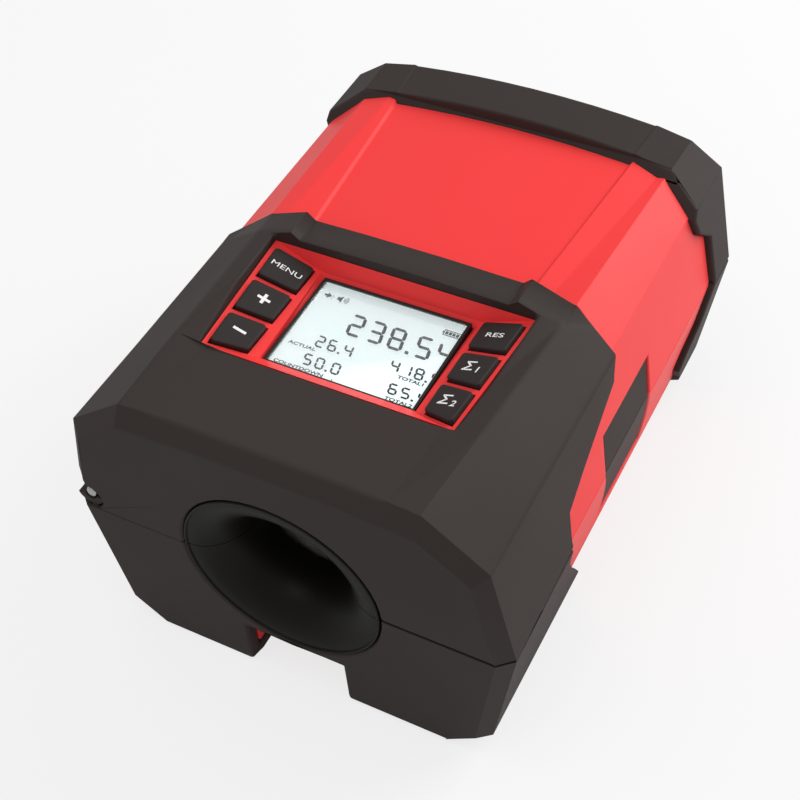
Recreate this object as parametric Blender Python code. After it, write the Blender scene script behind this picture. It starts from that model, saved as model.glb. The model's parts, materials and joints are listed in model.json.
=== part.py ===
"""Cable length counter: a hinged clamshell that closes round a cable and counts its length.

The lower half carries four concave guide rollers. The lid carries the display, six keys,
the electronics, two cells and a measuring wheel on a swinging arm. Lengths are in metres.
The part stands on its underside: x runs to the right, y to the rear and z up, with the
origin under the middle of the footprint. Depth is counted from the front face to the rear,
and level is counted from the split plane, which holds the cable's axis.
"""

import math

import bmesh
import bpy
from mathutils import Matrix, Vector

# Whole body
LENGTH = 0.192
BASE_LEVEL = -0.0569
SPLIT_GAP = 0.0003
GAP = 0.0003
RUNNING_GAP = 0.0004
OVERRUN = 0.004
WALL = 0.0025
SKIN = 0.0026
CROWN_STEPS = 4

# Red housing, with its long edges given near the front cover and near the rear cover
FRONT_REFERENCE = 0.099
REAR_REFERENCE_REACH = 0.0245
REAR_REFERENCE = LENGTH - REAR_REFERENCE_REACH
PANEL_EDGE_X_FRONT = 0.0391
PANEL_EDGE_X_REAR = 0.0444
PANEL_EDGE_LEVEL_FRONT = 0.0487
PANEL_EDGE_LEVEL_REAR = 0.0480
PANEL_STEP_WIDTH = 0.0008
PANEL_STEP_DROP = 0.0010
PANEL_CROWN = 0.0014
SHOULDER_X_FRONT = 0.0538
SHOULDER_X_REAR = 0.0564
SHOULDER_LEVEL_FRONT = 0.0483
SHOULDER_LEVEL_REAR = 0.0459
FLANK_X = 0.0674
FLANK_LEVEL = 0.0372
SIDE_X = 0.0739
LOW_EDGE_X = 0.0656
LOW_EDGE_LEVEL = -0.0465
BASE_EDGE_X = 0.0536
BASE_EDGE_LEVEL = -0.0560
END_WALL = 0.0037

# Front cover, as amounts by which it stands out from the red housing
COVER_BEVEL_DEPTH = 0.0043
COVER_FACE_WALL = 0.0047
COVER_TOP_X = 0.0491
COVER_TOP_LEVEL = 0.0538
COVER_CROWN = 0.0014
COVER_FLANK_OUT = 0.0019
COVER_FLANK_UP = 0.0009
COVER_SIDE_OUT_FRONT = 0.0026
COVER_SIDE_OUT_REAR = 0.0013
COVER_LOW_OUT = 0.0024
COVER_LOW_DOWN = 0.0015
COVER_BASE_OUT = 0.0010
FACE_TOP_IN = 0.0058
FACE_TOP_CROWN = 0.0024
FACE_CORNER_IN = 0.0003
FACE_FLANK_IN = 0.0038
FACE_FLANK_DOWN = 0.0029
FACE_SIDE_IN = 0.0048
FACE_LOW_IN = 0.0041
FACE_BASE_IN = 0.0017
FACE_BASE_UP = 0.0015
COVER_REAR_DEPTH = 0.0987
HOOD_SETBACK = 0.0102
HOOD_DEPTH = COVER_REAR_DEPTH - HOOD_SETBACK
HOOD_PEAK_X = 0.0395
HOOD_PEAK_LEVEL = 0.0540
HOOD_FOOT_X = 0.0365
HOOD_FOOT_LEVEL = 0.0512
HOOD_CROWN = 0.0006
PANEL_LIP = 0.0002
COVER_CHEEK_SETBACK = 0.0057
COVER_CHEEK_DEPTH = COVER_REAR_DEPTH - COVER_CHEEK_SETBACK
COVER_CHEEK_LEVEL = 0.0360
COVER_CHIN_SETBACK = 0.0077
COVER_CHIN_DEPTH = COVER_REAR_DEPTH - COVER_CHIN_SETBACK
COVER_CHIN_LEVEL = 0.0295
COVER_THROAT_DEPTH = 0.0497
COVER_THROAT_LEVEL = 0.0130
COVER_SPLIT_DEPTH = 0.0480
COVER_SPLIT_LEVEL = 0.0050
COVER_BROW_LEVEL = 0.0475
COVER_LOW_CHIN_DEPTH = 0.0510
COVER_LOW_CHIN_LEVEL = -0.0150
COVER_LOW_CHEEK_DEPTH = 0.0618
COVER_LOW_CHEEK_LEVEL = -0.0310
COVER_LOW_BROW_DEPTH = 0.0720
COVER_LOW_BROW_LEVEL = -0.0470

# Rear cover, with the reach of its front edge counted forward from the rear end
CAP_TOP_REACH = 0.0208
CAP_TOP_DEPTH = LENGTH - CAP_TOP_REACH
CAP_PANEL_REACH = 0.0216
CAP_PANEL_DEPTH = LENGTH - CAP_PANEL_REACH
CAP_SHOULDER_REACH = 0.0245
CAP_SHOULDER_DEPTH = LENGTH - CAP_SHOULDER_REACH
CAP_FLANK_REACH = 0.0305
CAP_FLANK_DEPTH = LENGTH - CAP_FLANK_REACH
CAP_NOTCH_TOP_REACH = 0.0276
CAP_NOTCH_TOP_DEPTH = LENGTH - CAP_NOTCH_TOP_REACH
CAP_NOTCH_TOP_LEVEL = 0.0286
CAP_NOTCH_LOW_REACH = 0.0187
CAP_NOTCH_LOW_DEPTH = LENGTH - CAP_NOTCH_LOW_REACH
CAP_NOTCH_LOW_LEVEL = 0.0210
CAP_SPLIT_REACH = 0.0185
CAP_SPLIT_DEPTH = LENGTH - CAP_SPLIT_REACH
CAP_SPLIT_LEVEL = 0.0060
CAP_PANEL_LEVEL = 0.0487
CAP_SHOULDER_LEVEL = 0.0454
CAP_FLANK_LEVEL = 0.0365
CAP_TOP_OUT = 0.0022
CAP_CROWN = 0.0038
CAP_SIDE_OUT = 0.0022

# Cable passage and funnels
MOUTH_RADIUS = 0.033
MOUTH_LIP = 0.0010
THROAT_RADIUS = 0.018
THROAT_DEPTH = 0.0180
FUNNEL_DEPTH = 0.0235
FUNNEL_FLANGE_DEPTH = 0.0047
FUNNEL_BARREL_RADIUS = 0.0270
FUNNEL_BARREL_DEPTH = 0.0104
FUNNEL_THROAT_WALL = 0.0022
FUNNEL_STEPS = 8
FUNNEL_SEGMENTS = 24

# Channel along the underside
CHANNEL_HALF_WIDTH = 0.0178
CHANNEL_ROOF_LEVEL = -0.0363
CHANNEL_WALL = 0.0027

# Hinge on the left side
HINGE_X = -0.0695
HINGE_LEVEL = 0.0050
KNUCKLE_RADIUS = 0.0048
LID_WEB_ANGLES = (0.0, math.radians(-284.0))
BASE_WEB_ANGLES = (math.radians(-66.0), math.radians(263.0))
BASE_WEB_ROOT = -0.0030
HINGE_RELIEF = 0.0006
HINGE_PIN_RADIUS = 0.0020
HINGE_NOTCH_LEVEL = 0.0125
KNUCKLE_LENGTH = 0.0140
EAR_START = 0.0010
EAR_TOP_LEVEL = 0.0044
HINGE_SEGMENTS = 20

# Side grips on the right
GRIP_RECESS = 0.0005
GRIP_DEPTH = 0.0024
GRIP_FRONT_TOP = 0.0812
GRIP_REAR_TOP = 0.1182
GRIP_TOP_LEVEL = 0.0142
GRIP_FRONT_SPLIT = 0.0785
GRIP_REAR_SPLIT = 0.1155
GRIP_FRONT_LOW = 0.0923
GRIP_REAR_LOW = 0.1290
GRIP_LOW_LEVEL = -0.0400
GRIP_BOW = 0.0028
GRIP_STEPS = 5

# Closing magnets
MAGNET_RADIUS = 0.0030
MAGNET_HEIGHT = 0.0020
MAGNET_X = 0.0640
MAGNET_FRONT_DEPTH = 0.0600
MAGNET_REAR_REACH = 0.0420
MAGNET_REAR_DEPTH = LENGTH - MAGNET_REAR_REACH
MAGNET_SEGMENTS = 16

# Display tray with sloping key bars
TRAY_LENGTH = 0.0500
TRAY_SETBACK = 0.0008
TRAY_REAR_DEPTH = HOOD_DEPTH - TRAY_SETBACK
TRAY_FRONT_DEPTH = TRAY_REAR_DEPTH - TRAY_LENGTH
TRAY_FRONT_X = 0.0425
TRAY_REAR_X = 0.0457
TRAY_FRONT_LEVEL = 0.0498
TRAY_REAR_LEVEL = 0.0488
TRAY_FRONT_SLOPE = 0.0067
TRAY_REAR_SLOPE = 0.0019
TRAY_INNER_FRONT_DEPTH = TRAY_FRONT_DEPTH + TRAY_FRONT_SLOPE
TRAY_INNER_REAR_DEPTH = TRAY_REAR_DEPTH - TRAY_REAR_SLOPE
TRAY_INNER_FRONT_X = 0.0266
TRAY_INNER_REAR_X = 0.0283
TRAY_INNER_FRONT_LEVEL = 0.0438
TRAY_INNER_REAR_LEVEL = 0.0430
TRAY_SKIRT_LEVEL = 0.0463
TRAY_WALL = 0.0021
TRAY_RIM = 0.0016
TRAY_REAR_WALL = 0.0009
TRAY_LEDGE = 0.0013

# Display
SCREEN_HALF_WIDTH = 0.0250
SCREEN_HEIGHT = 0.0375
SCREEN_SETBACK = 0.0048
SCREEN_REAR_DEPTH = TRAY_REAR_DEPTH - SCREEN_SETBACK
SCREEN_FRONT_DEPTH = SCREEN_REAR_DEPTH - SCREEN_HEIGHT
SCREEN_LEVEL = 0.0420
SCREEN_BORDER = 0.0009
FRAME_HEIGHT = 0.0009
WINDOW_HEIGHT = 0.0007
PANEL_THICKNESS = 0.0045

# Keys, three on each bar
KEY_COUNT = 3
KEY_SETBACK = 0.0034
KEY_REAR_DEPTH = TRAY_REAR_DEPTH - KEY_SETBACK
KEY_INNER_X = 0.0302
KEY_OUTER_X_REAR = 0.0437
KEY_OUTER_X_FRONT = 0.0408
KEY_INNER_LENGTH = 0.0118
KEY_OUTER_LENGTH = 0.0131
KEY_SPACE = 0.0027
KEY_RISE = 0.0016
KEY_ROOT = 0.0016
KEY_BEVEL = 0.0006
KEY_CLEARANCE = 0.00035
KEY_STEM_RADIUS = 0.0024
KEY_STEM_LENGTH = 0.0036
KEY_STEM_SEGMENTS = 12
KEY_NAMES_LEFT = ("key_menu", "key_plus", "key_minus")
KEY_NAMES_RIGHT = ("key_reset", "key_total_1", "key_total_2")

# Electronics in the lid
BOARD_HALF_WIDTH = 0.0440
BOARD_LENGTH = 0.0490
BOARD_OVERHANG = 0.0013
BOARD_REAR_DEPTH = TRAY_REAR_DEPTH + BOARD_OVERHANG
BOARD_FRONT_DEPTH = BOARD_REAR_DEPTH - BOARD_LENGTH
BOARD_THICKNESS = 0.0016
MAT_THICKNESS = 0.0008
MAT_BORDER = 0.0015
DOME_RADIUS = 0.0030
DOME_HEIGHT = 0.0007
BUZZER_RADIUS = 0.0060
BUZZER_HEIGHT = 0.0040
BUZZER_X = 0.0300
BUZZER_SETBACK = 0.0270
BUZZER_DEPTH = BOARD_REAR_DEPTH - BUZZER_SETBACK

# Lid liner, which closes the lid's underside round the passage
LINER_END_SPACE = 0.0270
LINER_FRONT_DEPTH = LINER_END_SPACE
LINER_REAR_DEPTH = LENGTH - LINER_END_SPACE
LINER_THICKNESS = 0.0020
LINER_LEVEL = 0.0006
LINER_ARCH_RADIUS = 0.0192
LINER_ARCH_STEPS = 12
LINER_LEFT_X = 0.0580
SLOT_HALF_WIDTH = 0.0152
SLOT_SPACE = 0.0190
SLOT_SILL_LEVEL = 0.0030

# Cells and their compartment
CELL_RADIUS = 0.00725
CELL_LENGTH = 0.0492
CELL_NUB_RADIUS = 0.0027
CELL_NUB_LENGTH = 0.0013
CELL_REACH = 0.0820
CELL_FRONT_DEPTH = LENGTH - CELL_REACH
CELL_INNER_X = 0.0338
CELL_SPACE = 0.0007
CELL_PITCH = 2.0 * CELL_RADIUS + CELL_SPACE
CELL_LEVEL = 0.0118
CELL_SEGMENTS = 24
TRAY_SIDE = 0.0012
CONTACT_THICKNESS = 0.0004

# Measuring wheel on its arm
WHEEL_REACH = 0.0800
WHEEL_DEPTH = LENGTH - WHEEL_REACH
SLOT_FRONT_DEPTH = WHEEL_DEPTH - SLOT_SPACE
WHEEL_LEVEL = 0.0000
WHEEL_RADIUS = 0.0120
WHEEL_HALF_WIDTH = 0.0060
TYRE_THICKNESS = 0.0018
TYRE_TEETH = 36
TYRE_GROOVE = 0.0005
HUB_BOSS_RADIUS = 0.0042
HUB_BOSS_LENGTH = 0.0022
AXLE_RADIUS = 0.0020
ENCODER_RADIUS = 0.0088
ENCODER_THICKNESS = 0.0008
ENCODER_SLOTS = 12
SENSOR_LENGTH = 0.0110
SENSOR_HEIGHT = 0.0070
SENSOR_THICKNESS = 0.0010
ARM_INNER_X = 0.0098
ARM_THICKNESS = 0.0020
ARM_WHEEL_END_RADIUS = 0.0046
ARM_PIVOT_END_RADIUS = 0.0056
ARM_BRIDGE_SHARE = 0.60
ARM_BRIDGE_RADIUS = 0.0020
ARM_LENGTH = 0.0460
PIVOT_DEPTH = WHEEL_DEPTH + ARM_LENGTH
PIVOT_LEVEL = 0.0220
BRACKET_INNER_X = 0.0125
BRACKET_THICKNESS = 0.0020
BRACKET_FRONT_SPACE = 0.0080
BRACKET_REAR_SPACE = 0.0060
BRACKET_FRONT_DEPTH = PIVOT_DEPTH - BRACKET_FRONT_SPACE
BRACKET_REAR_DEPTH = PIVOT_DEPTH + BRACKET_REAR_SPACE
SPRING_COIL_RADIUS = 0.0030
SPRING_WIRE_RADIUS = 0.0005
SPRING_TURNS = 6
SPRING_PITCH = 0.0016
SPRING_POINTS_PER_TURN = 10

# Guide rollers in the lower half
ROLLER_DEPTHS_SHARES = (0.177, 0.479, 0.688, 0.823)
ROLLER_LEVEL = -0.0245
ROLLER_END_RADIUS = 0.0078
ROLLER_WAIST_RADIUS = 0.0067
ROLLER_HALF_WIDTH = 0.0198
ROLLER_STEPS = 4
ROLLER_SEGMENTS = 24
FRAME_INNER_X = 0.0202
FRAME_THICKNESS = 0.0024
FRAME_END_SPACE = 0.0270
FRAME_FRONT_DEPTH = FRAME_END_SPACE
FRAME_REAR_DEPTH = LENGTH - FRAME_END_SPACE
FRAME_TOP_LEVEL = -0.0180
FRAME_FLOOR = 0.0016

# Screws
SCREW_RADIUS = 0.0013
SCREW_HEAD_RADIUS = 0.0026
SCREW_HEAD_HEIGHT = 0.0014
SCREW_LENGTH = 0.0070
SCREW_SEGMENTS = 12
POST_RADIUS = 0.0038
POST_X = 0.0480
POST_FRONT_DEPTH = 0.0330
POST_REAR_REACH = 0.0360
POST_REAR_DEPTH = LENGTH - POST_REAR_REACH
POST_SEGMENTS = 16

# Finishes: name, colour, roughness and how metallic
FINISHES = {
    "red": ("red_plastic", (0.80, 0.045, 0.055), 0.45, 0.0),
    "cover": ("cover_elastomer", (0.055, 0.045, 0.045), 0.70, 0.0),
    "dark": ("dark_plastic", (0.030, 0.028, 0.028), 0.50, 0.0),
    "funnel": ("funnel_plastic", (0.020, 0.020, 0.018), 0.25, 0.0),
    "rubber": ("rubber", (0.020, 0.020, 0.020), 0.85, 0.0),
    "steel": ("steel", (0.60, 0.58, 0.56), 0.30, 1.0),
    "aluminium": ("aluminium", (0.75, 0.75, 0.76), 0.35, 1.0),
    "roller": ("roller_plastic", (0.10, 0.10, 0.10), 0.55, 0.0),
    "screen": ("screen", (0.80, 0.90, 0.92), 0.40, 0.0),
    "glass": ("window_plastic", (0.90, 0.95, 0.95), 0.05, 0.0),
    "board": ("circuit_board", (0.02, 0.18, 0.06), 0.50, 0.0),
    "cell": ("cell_jacket", (0.30, 0.30, 0.33), 0.40, 0.5),
}

# Shading and printing
MILLIMETRES = 1000.0
SMOOTH_ANGLE = math.radians(35.0)
FLAT_TOLERANCE = 0.000001


def depth(distance):
    """World y of a distance behind the front face."""
    return distance - LENGTH / 2.0


def level(rise):
    """World z of a rise above the split plane."""
    return rise - BASE_LEVEL


def place(x, distance, rise):
    """World point from the side offset, the depth and the level."""
    return Vector((x, depth(distance), level(rise)))


def mix(first, second, share):
    """Linear blend of two values."""
    return first + (second - first) * share


def make_material(name, color, roughness, metallic):
    """Plain Principled material."""
    material = bpy.data.materials.new(name)
    material.use_nodes = True
    shader = material.node_tree.nodes["Principled BSDF"]
    shader.inputs["Base Color"].default_value = (*color, 1.0)
    shader.inputs["Roughness"].default_value = roughness
    shader.inputs["Metallic"].default_value = metallic
    material.diffuse_color = (*color, 1.0)
    return material


def make_object(name, mesh_builder, material=None):
    """Turn a bmesh into a linked object with outward faces."""
    bmesh.ops.recalc_face_normals(mesh_builder, faces=mesh_builder.faces)
    mesh = bpy.data.meshes.new(name)
    mesh_builder.to_mesh(mesh)
    mesh_builder.free()
    item = bpy.data.objects.new(name, mesh)
    bpy.context.collection.objects.link(item)
    if material is not None:
        mesh.materials.append(material)
    return item


def smooth(item):
    """Shade round faces smooth and keep the hard edges."""
    item.data.shade_smooth()
    item.data.set_sharp_from_angle(angle=SMOOTH_ANGLE)
    return item


def combine(item, tool, operation):
    """Apply an exact Boolean with a tool object, then remove the tool."""
    tool.hide_render = True
    tool.display_type = "WIRE"
    modifier = item.modifiers.new(operation, "BOOLEAN")
    modifier.operation = operation
    modifier.object = tool
    modifier.solver = "EXACT"
    bpy.context.view_layer.update()
    graph = bpy.context.evaluated_depsgraph_get()
    mesh = bpy.data.meshes.new_from_object(item.evaluated_get(graph))
    materials = list(item.data.materials)
    item.modifiers.remove(modifier)
    item.data = mesh
    mesh.materials.clear()
    for material in materials:
        mesh.materials.append(material)
    bpy.data.objects.remove(tool)
    return item


def cut(item, tool):
    """Remove a tool's volume from an object."""
    return combine(item, tool, "DIFFERENCE")


def join(item, tool):
    """Merge a tool's volume into an object."""
    return combine(item, tool, "UNION")


def keep(item, tool):
    """Keep only what lies inside a tool."""
    return combine(item, tool, "INTERSECT")


def add_quad(shape, corners):
    """Face through four corners, split along the same diagonal wherever it isn't flat."""
    here, right, across, left = corners
    normal = (right.co - here.co).cross(across.co - here.co)
    if abs(normal.normalized().dot(left.co - here.co)) < FLAT_TOLERANCE:
        shape.faces.new(corners)
        return
    shape.faces.new((here, right, across))
    shape.faces.new((here, across, left))


def bridge(rings, closed=False):
    """Closed body through rings of equal point counts, capped unless the rings close up."""
    shape = bmesh.new()
    loops = [[shape.verts.new(point) for point in ring] for ring in rings]
    count = len(loops[0])
    pairs = list(zip(loops, loops[1:]))
    if closed:
        pairs.append((loops[-1], loops[0]))
    else:
        shape.faces.new(loops[0])
        shape.faces.new(loops[-1])
    for first, second in pairs:
        for index in range(count):
            following = (index + 1) % count
            add_quad(shape, (first[index], first[following], second[following], second[index]))
    return shape


def along_depth(outline, start, end):
    """Prism of an (x, level) outline between two depths."""
    return bridge([[place(x, station, rise) for x, rise in outline] for station in (start, end)])


def along_side(outline, start, end):
    """Prism of a (depth, level) outline between two side offsets."""
    return bridge([[place(x, far, rise) for far, rise in outline] for x in (start, end)])


def along_rise(outline, start, end):
    """Prism of an (x, depth) outline between two levels."""
    return bridge([[place(x, far, rise) for x, far in outline] for rise in (start, end)])


def block(x_range, depth_range, level_range):
    """Box between two side offsets, two depths and two levels."""
    left, right = x_range
    near, far = depth_range
    outline = ((left, near), (right, near), (right, far), (left, far))
    return along_rise(outline, *level_range)


def turned(profile, origin, axis, segments, sweep=2.0 * math.pi):
    """Revolve a closed (radius, travel) profile about an axis through origin.

    A point at angle a lies at origin + axis * travel + radius * (cos a, sin a) in the
    plane across the axis. A full turn closes on itself and a part turn gets end caps.
    """
    axis = Vector(axis)
    first = Vector((1.0, 0.0, 0.0)) if abs(axis.x) < math.cos(1.0) else Vector((0.0, 0.0, 1.0))
    second = Vector((0.0, 0.0, 1.0)) if abs(axis.z) < math.cos(1.0) else Vector((0.0, 1.0, 0.0))
    if abs(axis.x) > math.cos(1.0):
        first, second = Vector((0.0, 1.0, 0.0)), Vector((0.0, 0.0, 1.0))
    full = abs(sweep - 2.0 * math.pi) < math.radians(1.0)
    count = segments if full else segments + 1
    rings = []
    for index in range(count):
        angle = sweep * index / segments
        spoke = first * math.cos(angle) + second * math.sin(angle)
        rings.append([origin + axis * travel + spoke * radius for radius, travel in profile])
    return bridge(rings, closed=full)


def rod(radius, start, end, segments):
    """Solid cylinder between two points."""
    axis = end - start
    length = axis.length
    turn = axis.to_track_quat("Z", "Y").to_matrix().to_4x4()
    shape = bmesh.new()
    bmesh.ops.create_cone(shape, cap_ends=True, segments=segments, radius1=radius, radius2=radius,
                          depth=length, matrix=Matrix.Translation((start + end) / 2.0) @ turn)
    return shape


def mirrored(half):
    """Whole outline from its right half, which runs from top centre to bottom centre."""
    return list(half) + [(-x, rise) for x, rise in reversed(half[1:-1])]


def crown(foot_x, foot_level, rise):
    """Points of a shallow parabola from the middle out to the foot, foot left out."""
    points = []
    for index in range(CROWN_STEPS):
        share = index / CROWN_STEPS
        points.append((foot_x * share, foot_level + rise * (1.0 - share * share)))
    return points


def inset(outline, distance):
    """Move each edge of a clockwise outline inwards and meet the edges at new corners."""
    count = len(outline)
    moved = []
    for index in range(count):
        before = Vector(outline[index - 1])
        here = Vector(outline[index])
        after = Vector(outline[(index + 1) % count])
        first = (here - before).normalized()
        second = (after - here).normalized()
        first_in = Vector((first.y, -first.x))
        second_in = Vector((second.y, -second.x))
        corner = (first_in + second_in).normalized()
        moved.append(tuple(here + corner * (distance / corner.dot(first_in))))
    return moved


def body_half(station, stepped=True):
    """Right half of the red housing's section at one depth."""
    share = (station - FRONT_REFERENCE) / (REAR_REFERENCE - FRONT_REFERENCE)
    panel_x = mix(PANEL_EDGE_X_FRONT, PANEL_EDGE_X_REAR, share)
    panel_level = mix(PANEL_EDGE_LEVEL_FRONT, PANEL_EDGE_LEVEL_REAR, share)
    shoulder_x = mix(SHOULDER_X_FRONT, SHOULDER_X_REAR, share)
    shoulder_level = mix(SHOULDER_LEVEL_FRONT, SHOULDER_LEVEL_REAR, share)
    drop = PANEL_STEP_DROP if stepped else PANEL_STEP_DROP / CROWN_STEPS
    foot = (panel_x - PANEL_STEP_WIDTH, panel_level - drop)
    half = crown(*foot, PANEL_CROWN)
    half += [foot, (panel_x, panel_level), (shoulder_x, shoulder_level), (FLANK_X, FLANK_LEVEL)]
    half += [(SIDE_X, 0.0), (LOW_EDGE_X, LOW_EDGE_LEVEL), (BASE_EDGE_X, BASE_EDGE_LEVEL)]
    half.append((0.0, BASE_EDGE_LEVEL))
    return half


def cover_half(station, flat=False):
    """Right half of the front cover's section behind its bevel.

    The top panel falls from the bevel to the tray's front edge, and the hood stands behind it.
    """
    share = (station - COVER_BEVEL_DEPTH) / (COVER_REAR_DEPTH - COVER_BEVEL_DEPTH)
    top_x = mix(COVER_TOP_X, SHOULDER_X_FRONT, share)
    top_level = mix(COVER_TOP_LEVEL, SHOULDER_LEVEL_FRONT, share)
    side_out = mix(COVER_SIDE_OUT_FRONT, COVER_SIDE_OUT_REAR, share)
    foot_level = mix(COVER_TOP_LEVEL + COVER_CROWN / 2.0, HOOD_FOOT_LEVEL, share)
    peak_level = mix(COVER_TOP_LEVEL + COVER_CROWN / 2.0, HOOD_PEAK_LEVEL, share)
    rise = mix(COVER_CROWN / 2.0, HOOD_CROWN, share)
    if COVER_BEVEL_DEPTH < station < HOOD_DEPTH:
        foot_level = TRAY_FRONT_LEVEL + PANEL_LIP
        peak_level = foot_level
        rise = PANEL_LIP
    if flat:
        foot_level = min(foot_level, peak_level)
        peak_level = foot_level
    half = crown(HOOD_FOOT_X, foot_level, rise)
    half += [(HOOD_FOOT_X, foot_level), (HOOD_PEAK_X, peak_level), (top_x, top_level)]
    half += [(FLANK_X + COVER_FLANK_OUT, FLANK_LEVEL + COVER_FLANK_UP)]
    half += [(SIDE_X + side_out, 0.0)]
    half += [(LOW_EDGE_X + COVER_LOW_OUT, LOW_EDGE_LEVEL - COVER_LOW_DOWN)]
    half += [(BASE_EDGE_X + COVER_BASE_OUT, BASE_LEVEL), (0.0, BASE_LEVEL)]
    return half


def face_half():
    """Right half of the flat front face, inside the bevel."""
    top_x = COVER_TOP_X - FACE_CORNER_IN
    top_level = COVER_TOP_LEVEL - FACE_TOP_IN
    half = []
    for x, _ in cover_half(COVER_BEVEL_DEPTH)[:CROWN_STEPS + 2]:
        half.append((x, top_level + FACE_TOP_CROWN * (1.0 - (x / top_x) ** 2)))
    half.append((top_x, top_level))
    half += [(FLANK_X + COVER_FLANK_OUT - FACE_FLANK_IN,
              FLANK_LEVEL + COVER_FLANK_UP - FACE_FLANK_DOWN)]
    half += [(SIDE_X + COVER_SIDE_OUT_FRONT - FACE_SIDE_IN, 0.0)]
    half += [(LOW_EDGE_X + COVER_LOW_OUT - FACE_LOW_IN,
              LOW_EDGE_LEVEL - COVER_LOW_DOWN + FACE_BASE_UP)]
    half += [(BASE_EDGE_X + COVER_BASE_OUT - FACE_BASE_IN, BASE_LEVEL + FACE_BASE_UP)]
    half.append((0.0, BASE_LEVEL + FACE_BASE_UP))
    return half


def cap_half(station):
    """Right half of the rear cover's section."""
    body = body_half(station, stepped=False)
    foot_x, foot_level = body[CROWN_STEPS]
    panel_x, panel_level = body[CROWN_STEPS + 1]
    shoulder_x, shoulder_level = body[CROWN_STEPS + 2]
    out = CAP_TOP_OUT
    side = CAP_SIDE_OUT
    half = crown(foot_x, foot_level + out, CAP_CROWN - CAP_TOP_OUT / 2.0)
    half += [(foot_x, foot_level + out), (panel_x, panel_level + out)]
    half += [(shoulder_x + out / 2.0, shoulder_level + out), (FLANK_X + side, FLANK_LEVEL + side)]
    half += [(SIDE_X + side, 0.0), (LOW_EDGE_X + side, LOW_EDGE_LEVEL - side)]
    base = BASE_LEVEL
    half += [(BASE_EDGE_X + side / 2.0, base), (0.0, base)]
    return half


def section_loft(stations):
    """Loft of whole (x, level) outlines given as (depth, outline) pairs."""
    return bridge([[place(x, far, rise) for x, rise in outline] for far, outline in stations])


def side_bound():
    """Side offset that clears every cover, for cutters."""
    return SIDE_X + COVER_SIDE_OUT_FRONT + CAP_SIDE_OUT + OVERRUN


def bound_level():
    """Level that clears the top of every cover, for cutters."""
    return COVER_TOP_LEVEL + COVER_CROWN + OVERRUN


def upper_region():
    """Everything above the split."""
    reach = side_bound()
    return block((-reach, reach), (-OVERRUN, LENGTH + OVERRUN), (SPLIT_GAP / 2.0, bound_level()))


def lower_region():
    """Everything below the split."""
    reach = side_bound()
    return block((-reach, reach), (-OVERRUN, LENGTH + OVERRUN),
                 (BASE_LEVEL - OVERRUN, -SPLIT_GAP / 2.0))


def front_region(grow):
    """Side view of the front cover's reach, its rear edge moved back by grow."""
    top = bound_level() + OVERRUN
    low = BASE_LEVEL - OVERRUN
    rear = [(COVER_REAR_DEPTH, COVER_BROW_LEVEL), (COVER_CHEEK_DEPTH, COVER_CHEEK_LEVEL),
            (COVER_CHIN_DEPTH, COVER_CHIN_LEVEL), (COVER_THROAT_DEPTH, COVER_THROAT_LEVEL),
            (COVER_SPLIT_DEPTH, COVER_SPLIT_LEVEL)]
    rear += [(COVER_SPLIT_DEPTH, -COVER_SPLIT_LEVEL), (COVER_LOW_CHIN_DEPTH, COVER_LOW_CHIN_LEVEL),
             (COVER_LOW_CHEEK_DEPTH, COVER_LOW_CHEEK_LEVEL),
             (COVER_LOW_BROW_DEPTH, COVER_LOW_BROW_LEVEL), (COVER_LOW_BROW_DEPTH, low)]
    edge = [(COVER_REAR_DEPTH + grow, top)] + [(far + grow, rise) for far, rise in rear]
    reach = side_bound() + OVERRUN
    return along_side(edge + [(-OVERRUN * 2.0, low), (-OVERRUN * 2.0, top)], -reach, reach)


def rear_region(grow):
    """Side view of the rear cover's reach, its front edge moved forward by grow."""
    top = bound_level() + OVERRUN
    low = BASE_LEVEL - OVERRUN
    front = [(CAP_SHOULDER_DEPTH, CAP_SHOULDER_LEVEL), (CAP_FLANK_DEPTH, CAP_FLANK_LEVEL),
             (CAP_NOTCH_TOP_DEPTH, CAP_NOTCH_TOP_LEVEL), (CAP_NOTCH_LOW_DEPTH, CAP_NOTCH_LOW_LEVEL),
             (CAP_SPLIT_DEPTH, CAP_SPLIT_LEVEL)]
    edge = [(CAP_TOP_DEPTH - grow, top), (CAP_PANEL_DEPTH - grow, CAP_PANEL_LEVEL)]
    edge += [(far - grow, rise) for far, rise in front]
    edge += [(far - grow, -rise) for far, rise in reversed(front)]
    edge.append((CAP_TOP_DEPTH - grow, low))
    reach = side_bound() + OVERRUN
    return along_side(edge + [(LENGTH + OVERRUN, low), (LENGTH + OVERRUN, top)], -reach, reach)


def core_loft(distance, front, rear):
    """Housing's core, which the covers sit on, drawn in by a distance from their outside."""
    nose = inset(mirrored(cover_half(COVER_BEVEL_DEPTH, flat=True)), distance + SKIN)
    panel = inset(mirrored(cover_half(TRAY_FRONT_DEPTH, flat=True)), distance + SKIN)
    hood = inset(mirrored(cover_half(HOOD_DEPTH, flat=True)), distance + SKIN)
    neck = inset(mirrored(body_half(COVER_REAR_DEPTH + SKIN, stepped=False)), distance)
    tail = inset(mirrored(body_half(LENGTH, stepped=False)), distance)
    return section_loft([(front, nose), (TRAY_FRONT_DEPTH, panel), (HOOD_DEPTH, hood),
                         (COVER_REAR_DEPTH + SKIN, neck), (rear, tail)])


def channel_cutter(wall=0.0):
    """Channel along the underside, grown by a wall."""
    half_width = CHANNEL_HALF_WIDTH + wall
    return block((-half_width, half_width), (-OVERRUN, LENGTH + OVERRUN),
                 (BASE_LEVEL - OVERRUN, CHANNEL_ROOF_LEVEL + wall))


def passage_cutter(radius, near, far, segments=2 * FUNNEL_SEGMENTS):
    """Round hole on the cable's axis."""
    return rod(radius, place(0.0, near, 0.0), place(0.0, far, 0.0), segments)


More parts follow.
